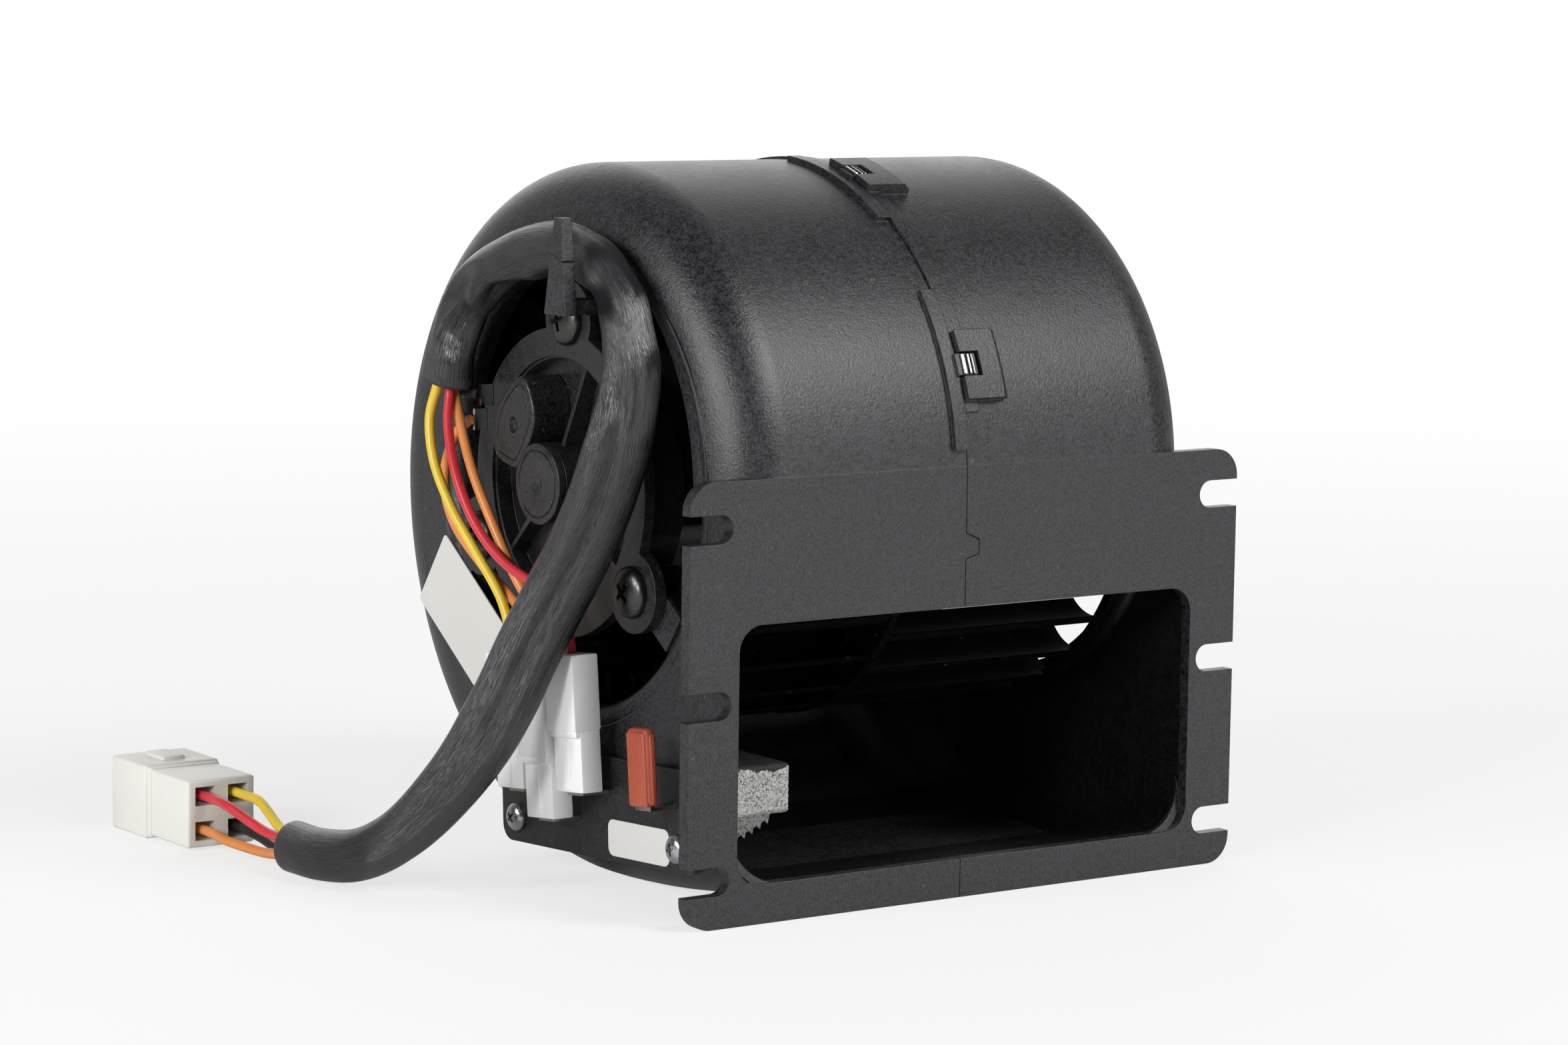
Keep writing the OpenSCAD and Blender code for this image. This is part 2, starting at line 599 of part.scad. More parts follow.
// Wires from the sleeve to the plug
plug_y = 138;
plug_c = [-120, plug_h / 2];
function way(i) = [plug_c[0] + (i % 2 == 0 ? -1 : 1) * 4.4, plug_c[1] + (i < 2 ? -1 : 1) * 4.2];
function tail_route(i) = let (w = way(i), s = tail_spread)
    [[tail_start[0] + (i % 2 == 0 ? -s : s), tail_start[1], tail_start[2] + (i < 2 ? -s : s)],
     [tail_start[0] + (i % 2 == 0 ? -2.6 : 2.2), tail_start[1] + 10, tail_start[2] + (i < 2 ? -s - 1 : s + 0.4)],
     [w[0], tail_start[1] + 22, w[1] - 0.6], [w[0], plug_y - 4, w[1]], [w[0], plug_y + 8, w[1]]];
module tail_red() color("#c8202c") tube(tail_route(2), wire_d, 8);
module tail_yellow() color("#e8c21c") tube(tail_route(3), wire_d, 8);
module tail_orange() color("#dd6f2a") tube(tail_route(0), wire_d, 8);
module tail_black() color("#1a1a1b") tube(tail_route(1), wire_d, 8);
module plug_housing() color("#eceadf") difference() {
    union() {
        translate([plug_c[0] - plug_w / 2 + 1, plug_y, 0.8]) cube([plug_w - 2, plug_len / 2, plug_h - 1.6]);
        translate([plug_c[0] - plug_w / 2, plug_y + plug_len / 2, 0]) cube([plug_w, plug_len / 2, plug_h]);
    }
    for (i = [0:3]) {
        w = way(i);
        translate([w[0], plug_y - 1, w[1]]) rotate([-90, 0, 0]) cylinder(r = wire_d / 2 + clear, h = 10);
        translate([w[0] - 3.4, plug_y + plug_len - 20, w[1] - 2.6]) cube([6.8, 21, 5.2]);
    }
}
module plug_terminals() color("#c9ccd0") for (i = [0:3]) let (w = way(i))
    translate([w[0] - 3.1, plug_y + plug_len - 19.8, w[1] - 0.4]) cube([6.2, 14, 0.8]);

left_housing();
right_housing();
impeller();
motor_shaft();
motor_end_frame();
motor_case();
brush_cover();
bearing_cap();
motor_screws();
motor_terminals();
magnets();
armature_core();
windings();
commutator();
brushes();
brush_springs();
brush_card();
rear_bearing();
front_bearing();
shaft_clip();
resistor_plate();
resistor_block();
resistor_coil();
resistor_tabs();
thermal_fuse();
resistor_screws();
tab_housing_red();
tab_housing_orange();
tab_housing_yellow();
side_label();
resistor_label();
harness_sleeve();
lead_red();
lead_yellow();
lead_orange();
lead_motor_orange();
lead_motor_black();
tail_red();
tail_yellow();
tail_orange();
tail_black();
plug_housing();
plug_terminals();
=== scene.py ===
"""Looks of a double-inlet blower fan: finishes, wiring, plug, terminal housings, screws and motor face."""

import json
import math

import bmesh
import bpy
from mathutils import Matrix, Vector, noise


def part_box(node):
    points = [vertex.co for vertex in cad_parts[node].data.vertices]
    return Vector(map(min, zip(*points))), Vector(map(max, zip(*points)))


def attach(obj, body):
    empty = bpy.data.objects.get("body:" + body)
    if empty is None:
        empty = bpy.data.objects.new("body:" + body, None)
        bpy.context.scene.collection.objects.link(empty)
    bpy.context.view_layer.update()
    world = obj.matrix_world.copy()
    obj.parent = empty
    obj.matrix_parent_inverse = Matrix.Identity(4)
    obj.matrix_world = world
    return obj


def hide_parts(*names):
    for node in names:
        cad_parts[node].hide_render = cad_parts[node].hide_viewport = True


bl_info = {
    "name": "Blower fan looks",
    "version": (1, 0, 0),
    "blender": (4, 5, 0),
    "location": "View3D > Sidebar > Blower",
    "description": "Builds the finishes and fine pieces of a double-inlet blower fan around its CAD frame",
    "category": "Object",
}

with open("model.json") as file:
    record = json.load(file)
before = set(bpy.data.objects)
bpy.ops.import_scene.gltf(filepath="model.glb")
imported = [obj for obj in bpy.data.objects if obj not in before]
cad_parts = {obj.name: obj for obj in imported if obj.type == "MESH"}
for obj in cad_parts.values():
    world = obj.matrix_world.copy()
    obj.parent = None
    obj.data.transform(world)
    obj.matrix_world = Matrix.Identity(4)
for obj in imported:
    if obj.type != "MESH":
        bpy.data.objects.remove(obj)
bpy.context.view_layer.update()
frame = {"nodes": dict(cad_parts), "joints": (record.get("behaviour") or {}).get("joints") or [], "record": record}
nodes = frame["nodes"]
MM = 0.001
HOUSING = "housing"
axle = Vector(next(j["pos_m"] for j in frame["joints"] if j["name"] == "wheel_spin"))

# Routes in millimetres, as the frame's own tubes run
SLEEVE = [
    (-78, 104, 114), (-77.5, 100, 128), (-76, 90, 139), (-74.5, 76, 145), (-73.6, 61, 147.5),
    (-73.6, 46, 145), (-73.6, 35, 136), (-74.5, 30, 123), (-77, 30, 109), (-79, 34, 95),
    (-81, 40, 82), (-84, 46, 70), (-88.5, 50, 58), (-93, 53, 46), (-98, 57, 34.5),
    (-104, 63, 23), (-110, 71, 13.5), (-115, 80, 8), (-118, 92, 6.2), (-119, 104, 6.2),
]
LEADS = {
    "lead_yellow": [
        (-80, 105, 113), (-81.5, 106, 105), (-82, 103, 95), (-81, 97, 85), (-79, 89, 75),
        (-77, 81, 65), (-76.4, 77.3, 56), (-76.4, 76.4, 47.5),
    ],
    "lead_red": [
        (-77.6, 103, 112.8), (-80, 100, 104), (-82, 93, 93), (-82, 84, 82), (-80.5, 73, 74),
        (-77.5, 58, 68), (-76.4, 52.2, 60), (-76.4, 51.1, 51),
    ],
    "lead_orange": [
        (-75.4, 105, 113), (-77.5, 98, 103), (-79, 90, 93), (-79, 82, 83), (-78, 74, 72),
        (-77, 65.2, 62), (-76.4, 62.6, 52), (-76.4, 61.6, 43),
    ],
    "lead_motor_orange": [
        (-73.8, 100, 105), (-74.8, 106, 100), (-75.6, 109, 90), (-75.8, 104, 80), (-75, 92, 71),
        (-74.4, 77, 63), (-75.8, 68.4, 57.5), (-76.4, 66.3, 53), (-76.4, 65.2, 43),
    ],
}
TAIL_START = (-119, 104.3, 6.2)
TAIL_ORDER = ("tail_orange", "tail_black", "tail_red", "tail_yellow")
WIRE_WIDTH = 2.4
SLEEVE_WIDTH = 12
# How far along the sleeve it starts to turn and to lie down, each with the length that this takes
SLEEVE_TURNS = (84, 40)
SLEEVE_LIES = (195, 35)
FLOOR_GAP = 0.1

# The plug, in millimetres: its middle in x and z, how far its ways lie from that, and where the wires go in
PLUG_MIDDLE = (-120, 9)
PLUG_WAY = (4.4, 4.2)
PLUG_BACK = 138

# The foot of each cap on the resistor's terminals: y and z in millimetres, then the x and lean of them all
TERMINAL_FEET = {
    "tab_housing_red": (48.2, 24),
    "tab_housing_orange": (60.6, 16),
    "tab_housing_yellow": (73.7, 21),
}
FUSE_FOOT = (20.2, 25)
TERMINAL_X = -76.4
TERMINAL_LEAN = math.radians(-6)

# Faces on the left, as x in millimetres
SIDE_FACE = -67
MOTOR_FACE = -70
CAP_FACE = -76
LID_FACE = -75.4
PLATE_FACE = -69.4

# The motor's screws: the radius of their ring and their turns round it in degrees
SCREW_RING = 38.1
SCREW_TURNS = (4.84, 124.84, 244.84)

# The resistor: its plate and screws, its block's dark coat and further reach, and where its coil is stepped:
# how far before the coil's end that starts, and its length
PLATE_MIDDLE = (50.6, 13.5)
PLATE_LEAN = math.radians(-3.1)
PLATE_SCREW_SPAN = 67.8
BLOCK_COAT = 1.6
BLOCK_REACH = 6
COIL_STEPPED = (10, 15)

LID_DEPTH = 10.1

# The hair line round each inlet, painted dark as the shade in its groove, and the inside of the duct, painted dark
# as shade, as a box's middle and half sizes
GROOVE_RADIUS = 57
DUCT_MIDDLE = (0, 46, 44)
DUCT_HALF = (66, 43, 41)

SEAM = -2.5
# Snap clips: centre and radius of the arc they sit on, and the turn from straight down towards the back
CLIPS = ((72, 94.5, 72, 199), (72, 94.5, 72, 247.5), (72, 88, 78.5, 128), (62.5, 88, 88, 48))
# The steel bars of a clip: place beside the seam and width
CLIP_BARS = ((0.3, 0.9), (2.0, 0.6), (3.1, 0.4))

# The camera: place in metres, then its turn, tilt and roll in degrees, and the lens
CAMERA_PLACE = (-0.62230, -0.80241, 0.21221)
CAMERA_TURNS = (35.33, 7.08, 0.80)
CAMERA_LENS = 102.82
# Each lamp's place and width in metres, and the point that all of them face
LAMPS = {
    "key": ((0.62, -1.22, 1.22), 0.8),
    "fill": ((-1.6, 0.1, 0.78), 0.4),
    "back": ((0.75, 1.5, 0.75), 1.3),
    "face": ((-1.45, -0.55, 0.52), 0.3),
    "low": ((0.7, -1.14, 0.12), 0.4),
}
LAMP_AIM = (0, 0.06, 0.08)
# The way to the pale screen behind the object, how squarely a way faces it at the edge and in the middle,
# and the world's strength away from it and on it
SCREEN = (0.5, 0.78, -0.1)
SCREEN_EDGES = (0.1, 0.9)
SCREEN_STRENGTH = (0.055, 0.66)
# The floor's half width, and how far off its fade starts and ends, with how white it is there
FLOOR_HALF = 6
FLOOR_FADE = (0.05, 1.3)
FLOOR_WHITE = (0.7, 1.0)


class Flow:
    """A shader socket that takes part in sums as a number does."""

    def __init__(self, network, socket):
        self.network = network
        self.socket = socket

    def math(self, operation, *others):
        return self.network.node("ShaderNodeMath", {"operation": operation}, dict(enumerate((self, *others))))

    def __add__(self, other):
        return self.math("ADD", other)

    __radd__ = __add__

    def __mul__(self, other):
        return self.math("MULTIPLY", other)

    __rmul__ = __mul__

    def __sub__(self, other):
        return self.math("SUBTRACT", other)

    def __rsub__(self, other):
        return (self * -1) + other

    def above(self, other):
        return self.math("GREATER_THAN", other)

    def at_least(self, other):
        return self.math("MAXIMUM", other)


class Network:
    """A node tree that grows one node at a time."""

    def __init__(self, tree):
        self.tree = tree

    def node(self, kind, settings=None, inputs=None, output=0):
        """Adds a node with its settings and inputs, a ramp's stops among the settings. Gives one output."""
        made = self.tree.nodes.new(kind)
        for name, value in (settings or {}).items():
            if name == "stops":
                ramp = made.color_ramp
                while len(ramp.elements) < len(value):
                    ramp.elements.new(0.5)
                for element, (position, tone) in zip(ramp.elements, value):
                    element.position = position
                    element.color = tone
            else:
                setattr(made, name, value)
        for key, value in (inputs or {}).items():
            self.plug(made.inputs[key], value)
        return Flow(self, made.outputs[output])

    def plug(self, socket, value):
        """Links a flow to a socket, or sets the socket to a plain value."""
        if isinstance(value, Flow):
            self.tree.links.new(value.socket, socket)
        else:
            socket.default_value = value


def socket_name(word):
    """The shader's name for an input, from the word that stands for it in this file."""
    return word.replace("_", " ").title().replace("Ior", "IOR")


class Finish(Network):
    """One procedural material around a single Principled shader."""

    def __init__(self, name, **constants):
        self.material = bpy.data.materials.new(name)
        self.material.use_nodes = True
        super().__init__(self.material.node_tree)
        self.shader = self.tree.nodes["Principled BSDF"]
        for word, value in constants.items():
            self.shader.inputs[socket_name(word)].default_value = value

    def place(self):
        return self.node("ShaderNodeTexCoord", output="Object")

    def attribute(self, name):
        return self.node("ShaderNodeAttribute", {"attribute_name": name}, output="Vector")

    def part(self, vector, axis):
        """One of a vector's three numbers."""
        return self.node("ShaderNodeSeparateXYZ", {}, {0: vector}, output=axis)

    def stretched(self, vector, scale):
        return self.node("ShaderNodeMapping", {}, {"Vector": vector, "Scale": scale})

    def noise(self, vector, scale, detail=3, roughness=0.5):
        values = {"Vector": vector, "Scale": scale, "Detail": detail, "Roughness": roughness}
        return self.node("ShaderNodeTexNoise", {}, values)

    def tint(self, value, *stops):
        return self.node("ShaderNodeValToRGB", {"stops": stops}, {"Fac": value})

    def blend(self, factor, first, second):
        """A mix of two colours. The mix node's colours are its inputs 6 and 7, and its output 2."""
        return self.node("ShaderNodeMix", {"data_type": "RGBA"}, {0: factor, 6: first, 7: second}, output=2)

    def away_from(self, point, place):
        """The way from a point in metres to a place."""
        return self.node("ShaderNodeVectorMath", {"operation": "SUBTRACT"}, {0: place, 1: point})

    def inside(self, place, middle, half):
        """1 inside a box given in millimetres by its middle and half sizes, 0 outside it."""
        away = self.away_from(Vector(middle) * MM, place)
        made = 1
        for axis in range(3):
            off = self.part(away, axis).math("ABSOLUTE")
            made = (half[axis] * MM - off).above(0) * made
        return made

    def ring_line(self, place, radius):
        """1 on a hair line round the axle on the two side faces, and 0 elsewhere."""
        from_axle = self.away_from(axle, place)
        side = self.part(from_axle, 0).math("ABSOLUTE").above((-SIDE_FACE - 0.5) * MM)
        flat = self.stretched(from_axle, (0, 1, 1))
        away = self.node("ShaderNodeVectorMath", {"operation": "LENGTH"}, {0: flat}, output="Value")
        off = (away - radius).math("ABSOLUTE")
        half_width = 0.25 * MM
        return (1 - off * (1 / half_width)).at_least(0) * side

    def bump(self, height, distance, edge=0.0):
        """Bumps, over edges rounded by a radius where one is given."""
        values = {"Height": height, "Distance": distance}
        if edge:
            values["Normal"] = self.node("ShaderNodeBevel", {"samples": 6}, {"Radius": edge})
        return self.node("ShaderNodeBump", {}, values)

    def feed(self, **links):
        for word, value in links.items():
            self.plug(self.shader.inputs[socket_name(word)], value)
        return self.material


def colour(value):
    """A colour with the fourth number that a socket asks for."""
    return (value[0], value[1], value[2], 1)


def scaled(value, by):
    """A colour made darker or lighter by a factor."""
    return (value[0] * by, value[1] * by, value[2] * by, 1)


def moulded(name, base, roughness, grain, depth, edge=0.35 * MM, shine=0.55, speckle=1.0, groove=0.0):
    """Moulded plastic with a spark-eroded grain, faint flow marks, dust specks and rounded edges.

    Where a groove's radius is given, a hair line with painted shade in it runs round the axle, and the inside of
    the duct gets painted shade.
    """
    made = Finish(name, roughness=roughness, specular_ior_level=shine)
    place = made.place()
    fine = made.noise(place, grain, 3, 0.7)
    mottle = made.noise(place, grain * 0.35, 2, 0.5)
    coarse = made.noise(place, 60, 3, 0.5)
    shade = (fine - 0.5) * 4 * speckle + (mottle - 0.5) * 1.2 * speckle + (coarse - 0.5) * 0.4 + 0.5
    tone = made.blend(shade, scaled(base, 0.2), scaled(base, 1.8))
    dust = made.noise(place, 420, 1, 0.3).above(0.74) * made.noise(place, 1900, 1, 0.5).above(0.6)
    tone = made.blend(dust * 0.4, tone, (0.2, 0.19, 0.17, 1))
    rough = (coarse - 0.5) * 0.1 + (fine - 0.5) * 0.25 + (mottle - 0.5) * 0.15 + roughness
    height = fine * 0.9 + mottle * 0.25
    if groove:
        line = made.ring_line(place, groove)
        duct = made.inside(place, DUCT_MIDDLE, DUCT_HALF)
        # Painted shade: the groove's hair line and the inside of the duct are darkened nearly to black
        tone = made.blend(line * 0.8 + duct * 0.85, tone, (0.002, 0.002, 0.002, 1))
        height = height - line * 2
    return made.feed(base_color=tone, roughness=rough, normal=made.bump(height, depth, edge))


def metal(name, base, roughness, streak=(30, 30, 900), specks=0.0):
    """Metal with drawn or turned streaks and small pits."""
    made = Finish(name, metallic=1.0, roughness=roughness)
    place = made.place()
    lines = made.noise(made.stretched(place, streak), 6, 3, 0.6)
    cloud = made.noise(place, 240, 3, 0.5)
    pits = made.noise(place, 2600, 2, 0.6)
    tone = made.blend((lines - 0.3) * 0.8 + (cloud - 0.5) * 0.4, scaled(base, 0.62), colour(base))
    rough = (lines - 0.5) * 0.2 + (cloud - 0.5) * 0.2 + pits.above(0.62) * specks + roughness
    return made.feed(base_color=tone, roughness=rough, normal=made.bump(lines * 0.4 + pits * 0.6, 0.04 * MM))


def vinyl(name, base, roughness=0.32):
    """Wire insulation: smooth vinyl with faint drawing lines and a little grime."""
    made = Finish(name, roughness=roughness, specular_ior_level=0.5)
    place = made.place()
    cloud = made.noise(place, 160, 3, 0.55)
    fine = made.noise(place, 2200, 2, 0.5)
    tone = made.blend((cloud - 0.35) * 0.9, scaled(base, 0.78), colour(base))
    return made.feed(
        base_color=tone,
        roughness=(cloud - 0.5) * 0.25 + roughness,
        normal=made.bump(fine * 0.5 + cloud * 2, 0.02 * MM),
    )


def nylon(name, base):
    """White moulded nylon: slightly milky, with soft flow marks."""
    made = Finish(name, roughness=0.38)
    place = made.place()
    cloud = made.noise(place, 70, 3, 0.5)
    fine = made.noise(place, 1800, 2, 0.6)
    tone = made.blend(cloud, scaled(base, 0.94), colour(base))
    return made.feed(
        base_color=tone,
        roughness=(cloud - 0.5) * 0.2 + (fine - 0.5) * 0.1 + 0.38,
        normal=made.bump(fine * 0.4 + cloud * 3, 0.03 * MM),
    )


def paper(name, base):
    """Coated label stock, left bare: faint fibre, a soft yellowing and rubbed patches."""
    made = Finish(name, roughness=0.42)
    place = made.place()
    fibre = made.noise(made.stretched(place, (600, 600, 2400)), 1, 3, 0.7)
    cloud = made.noise(place, 55, 3, 0.5)
    yellowed = (base[0] * 0.94, base[1] * 0.93, base[2] * 0.9, 1)
    tone = made.blend((cloud - 0.4) * 0.8, yellowed, colour(base))
    tone = made.blend((fibre - 0.5) * 0.25, tone, (0.6, 0.6, 0.6, 1))
    rough = (cloud - 0.5) * 0.3 + 0.42
    return made.feed(base_color=tone, roughness=rough, normal=made.bump(fibre, 0.01 * MM))


def ceramic(name, base):
    """Granular fired ceramic: pale grains over grey binder, under a dark coat on the block's top."""
    made = Finish(name, roughness=0.75)
    place = made.place()
    grains = made.noise(place, 2300, 3, 0.7)
    cloud = made.noise(place, 400, 4, 0.7)
    tone = made.tint(
        grains * 2.4 - 0.9 + cloud * 0.6,
        (0.3, scaled(base, 0.12)),
        (0.5, scaled(base, 0.85)),
        (0.8, scaled(base, 1.35)),
    )
    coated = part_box("resistor_block")[1].z - BLOCK_COAT * MM
    ragged = (made.noise(place, 260, 3, 0.6) - 0.5) * 5
    coat = ((made.part(place, 2) - coated) * 1200 + ragged).above(0.5)
    tone = made.blend(coat, tone, scaled(base, 0.05))
    return made.feed(
        base_color=tone,
        metallic=cloud.above(0.6) * 0.35,
        roughness=(cloud - 0.5) * 0.4 + 0.7,
        normal=made.bump(grains + cloud * 0.8, 0.2 * MM),
    )


def sleeving(name, base):
    """Glossy vinyl tube: drawing streaks along it, soft scuffs and dusty patches."""
    made = Finish(name, roughness=0.15, specular_ior_level=0.9)
    lay = made.attribute("lay")
    place = made.place()
    ripples = made.noise(made.stretched(lay, (1, 1, 4)), 9, 4, 0.65)
    long_marks = made.noise(made.stretched(lay, (1, 1, 0.06)), 30, 3, 0.65)
    scuff = made.noise(place, 90, 4, 0.6)
    fine = made.noise(place, 2600, 2, 0.5)
    tone = made.blend(scuff * 0.8, scaled(base, 0.7), scaled(base, 1.9))
    dust = fine.above(0.7) * scuff.above(0.56)
    tone = made.blend(dust * 0.1, tone, (0.3, 0.3, 0.3, 1))
    return made.feed(
        base_color=tone,
        roughness=(long_marks - 0.5) * 0.35 + (scuff - 0.5) * 0.15 + 0.17,
        normal=made.bump(ripples * 0.12 + long_marks * 0.9 + fine * 0.02, 0.3 * MM),
    )


def laminated(name, base):
    """Stacked steel sheets, seen edge on."""
    made = Finish(name, metallic=0.9, roughness=0.45)
    place = made.place()
    sheets = (made.part(place, 0) * 12500).math("SINE") * 0.5 + 0.5
    cloud = made.noise(place, 200, 3, 0.5)
    tone = made.blend(sheets * 0.6 + cloud * 0.4, scaled(base, 0.45), colour(base))
    return made.feed(base_color=tone, roughness=cloud * 0.3 + 0.35, normal=made.bump(sheets, 0.08 * MM))


def wound(name, base):
    """Enamelled copper wire laid in turns round the axle."""
    made = Finish(name, metallic=0.8, roughness=0.3, coat_weight=0.4)
    place = made.place()
    turns = made.node("ShaderNodeTexWave", {"wave_type": "RINGS", "rings_direction": "X"}, {
        "Vector": made.node("ShaderNodeMapping", {}, {"Vector": place, "Location": -axle}),
        "Scale": 420,
        "Distortion": 1.5,
        "Detail": 2,
    })
    cloud = made.noise(place, 300, 3, 0.5)
    tone = made.blend(turns * 0.6 + cloud * 0.4, scaled(base, 0.4), colour(base))
    return made.feed(base_color=tone, roughness=cloud * 0.2 + 0.22, normal=made.bump(turns, 0.3 * MM))


def board(name, base):
    """Laminated insulating board with a faint cross weave."""
    made = Finish(name, roughness=0.5)
    place = made.place()
    warp = made.noise(made.stretched(place, (400, 3000, 400)), 1, 2, 0.5)
    weft = made.noise(made.stretched(place, (400, 400, 3000)), 1, 2, 0.5)
    tone = made.blend(warp * 0.5 + weft * 0.5, scaled(base, 0.7), scaled(base, 1.25))
    return made.feed(base_color=tone, roughness=warp * 0.3 + 0.4, normal=made.bump(warp + weft, 0.05 * MM))


# The maker, the base colour and the settings of every slot of the record
FINISHES = {
    "housing_black": (moulded, (0.019, 0.0188, 0.0215), dict(
        roughness=0.35, grain=1700, depth=0.14 * MM, shine=0.6, groove=GROOVE_RADIUS * MM,
    )),
    # The wheel's black is set far darker than the housing's, as painted shade inside the duct
    "wheel_black": (moulded, (0.003, 0.003, 0.0035), dict(
        roughness=0.75, grain=1500, depth=0.05 * MM, edge=0, shine=0.03,
    )),
    "motor_frame_black": (moulded, (0.015, 0.015, 0.016), dict(roughness=0.36, grain=1900, depth=0.05 * MM)),
    "plate_black": (moulded, (0.014, 0.014, 0.016), dict(roughness=0.44, grain=1800, depth=0.06 * MM)),
    "magnet_ferrite": (moulded, (0.12, 0.12, 0.125), dict(roughness=0.55, grain=1800, depth=0.06 * MM)),
    "carbon": (moulded, (0.05, 0.05, 0.052), dict(roughness=0.5, grain=3000, depth=0.05 * MM)),
    "fuse_red": (moulded, (0.42, 0.085, 0.045), dict(
        roughness=0.42, grain=1600, depth=0.03 * MM, edge=0, shine=0.4, speckle=0.12,
    )),
    "shaft_steel": (metal, (0.62, 0.63, 0.65), dict(roughness=0.22, streak=(900, 40, 40))),
    "case_zinc": (metal, (0.50, 0.51, 0.52), dict(roughness=0.35, streak=(500, 60, 60))),
    "screw_black": (metal, (0.115, 0.112, 0.11), dict(roughness=0.3, streak=(300, 300, 300), specks=0.3)),
    "screw_zinc": (metal, (0.72, 0.73, 0.75), dict(roughness=0.22, streak=(500, 500, 500), specks=0.2)),
    "terminal_tin": (metal, (0.92, 0.93, 0.94), dict(roughness=0.14, streak=(200, 200, 900))),
    "spring_steel": (metal, (0.66, 0.67, 0.68), dict(roughness=0.25, streak=(400, 400, 400))),
    "copper_bar": (metal, (0.72, 0.42, 0.24), dict(roughness=0.3, streak=(900, 60, 60))),
    "bearing_bronze": (metal, (0.50, 0.36, 0.18), dict(roughness=0.45, streak=(400, 400, 400), specks=0.3)),
    "coil_grey": (ceramic, (0.24, 0.24, 0.23), {}),
    "tab_brass": (metal, (0.82, 0.79, 0.70), dict(roughness=0.24, streak=(200, 200, 900))),
    "core_steel": (laminated, (0.34, 0.34, 0.35), {}),
    "copper_wire": (wound, (0.62, 0.30, 0.14), {}),
    "card_brown": (board, (0.30, 0.19, 0.10), {}),
    "ceramic_grey": (ceramic, (0.5, 0.5, 0.48), {}),
    "nylon_white": (nylon, (0.95, 0.955, 0.965), {}),
    "plug_ivory": (nylon, (0.84, 0.83, 0.78), {}),
    "label_white": (paper, (0.76, 0.76, 0.75), {}),
    "sleeve_black": (sleeving, (0.0095, 0.0095, 0.011), {}),
    "wire_red": (vinyl, (0.80, 0.045, 0.065), {}),
    "wire_yellow": (vinyl, (0.98, 0.72, 0.06), {}),
    "wire_orange": (vinyl, (0.92, 0.33, 0.09), {}),
    "wire_black": (vinyl, (0.015, 0.015, 0.016), {}),
}
materials = {}


def finish_of(slot):
    """The material of one of the record's slots, made the first time it is asked for."""
    if slot not in materials:
        maker, base, settings = FINISHES[slot]
        materials[slot] = maker(slot, base, **settings)
    return materials[slot]


def slot_of(node):
    """The record's slot of one of the frame's nodes."""
    return next(s["material_slot"] for s in frame["record"]["subparts"] if s["node"] == node)


def add_piece(name, bm, body, slot, *stands_for, smooth=None):
    """Turns a bmesh into a piece that rides on a body, smooth-shaded below an edge angle in degrees."""
    bmesh.ops.recalc_face_normals(bm, faces=bm.faces[:])
    mesh = bpy.data.meshes.new(name)
    bm.to_mesh(mesh)
    bm.free()
    made = bpy.data.objects.new(name, mesh)
    bpy.context.scene.collection.objects.link(made)
    mesh.materials.append(finish_of(slot))
    if smooth is not None:
        mesh.shade_smooth()
        mesh.set_sharp_from_angle(angle=math.radians(smooth))
    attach(made, body)
    if stands_for:
        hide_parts(*stands_for)
    return made


def add_block(bm, low, high, bevel=0.0, segments=2, turn=Matrix()):
    """A box between two corners in millimetres, with rounded edges."""
    size = [(b - a) * MM for a, b in zip(low, high)]
    middle = [(a + b) / 2 * MM for a, b in zip(low, high)]
    placed = turn @ Matrix.Translation(middle) @ Matrix.Diagonal((*size, 1))
    corners = bmesh.ops.create_cube(bm, size=1, matrix=placed)["verts"]
    if bevel:
        soften(bm, list({e for v in corners for e in v.link_edges}), bevel, segments)


def soften(bm, edges, width, segments):
    """Rounds edges by a width in millimetres."""
    bmesh.ops.bevel(
        bm, geom=edges, offset=width * MM, offset_type="OFFSET", segments=segments, profile=0.5,
        affect="EDGES", material=-1, clamp_overlap=True,
    )


def add_turned(bm, profile, turn, steps=48):
    """A line of (radius, height) points in millimetres, spun about the height axis and then placed.

    What the bmesh already holds is tagged and stays where it is.
    """
    verts = [bm.verts.new((r * MM, 0, h * MM)) for r, h in profile]
    edges = [bm.edges.new(pair) for pair in zip(verts, verts[1:])]
    bmesh.ops.spin(
        bm, geom=verts + edges, cent=(0, 0, 0), axis=(0, 0, 1), angle=math.tau, steps=steps, use_merge=True,
    )
    spun = list({v for f in bm.faces for v in f.verts if not v.tag})
    bmesh.ops.remove_doubles(bm, verts=spun, dist=0.002 * MM)
    made = [v for v in bm.verts if not v.tag]
    bmesh.ops.transform(bm, matrix=turn, verts=made)
    for v in made:
        v.tag = True


def deepened(bm, outline, depth):
    """A face through points in metres, extruded into a solid by a vector."""
    face = bm.faces.new([bm.verts.new(point) for point in outline])
    grown = bmesh.ops.extrude_face_region(bm, geom=[face])["geom"]
    far = [g for g in grown if isinstance(g, bmesh.types.BMVert)]
    bmesh.ops.translate(bm, vec=depth, verts=far)


def carve(body, cutter, angle=32):
    """Cuts a bmesh out of a piece and shades what is left."""
    bmesh.ops.recalc_face_normals(cutter, faces=cutter.faces[:])
    shape = bpy.data.meshes.new("cutter")
    cutter.to_mesh(shape)
    cutter.free()
    tool = bpy.data.objects.new("cutter", shape)
    bpy.context.scene.collection.objects.link(tool)
    cut = body.modifiers.new("cut", "BOOLEAN")
    cut.operation = "DIFFERENCE"
    cut.solver = "EXACT"
    cut.use_self = True
    cut.object = tool
    bpy.context.view_layer.update()
    carved = bpy.data.meshes.new_from_object(body.evaluated_get(bpy.context.evaluated_depsgraph_get()))
    body.modifiers.clear()
    body.data = carved
    carved.shade_smooth()
    carved.set_sharp_from_angle(angle=math.radians(angle))
    bpy.data.objects.remove(tool)


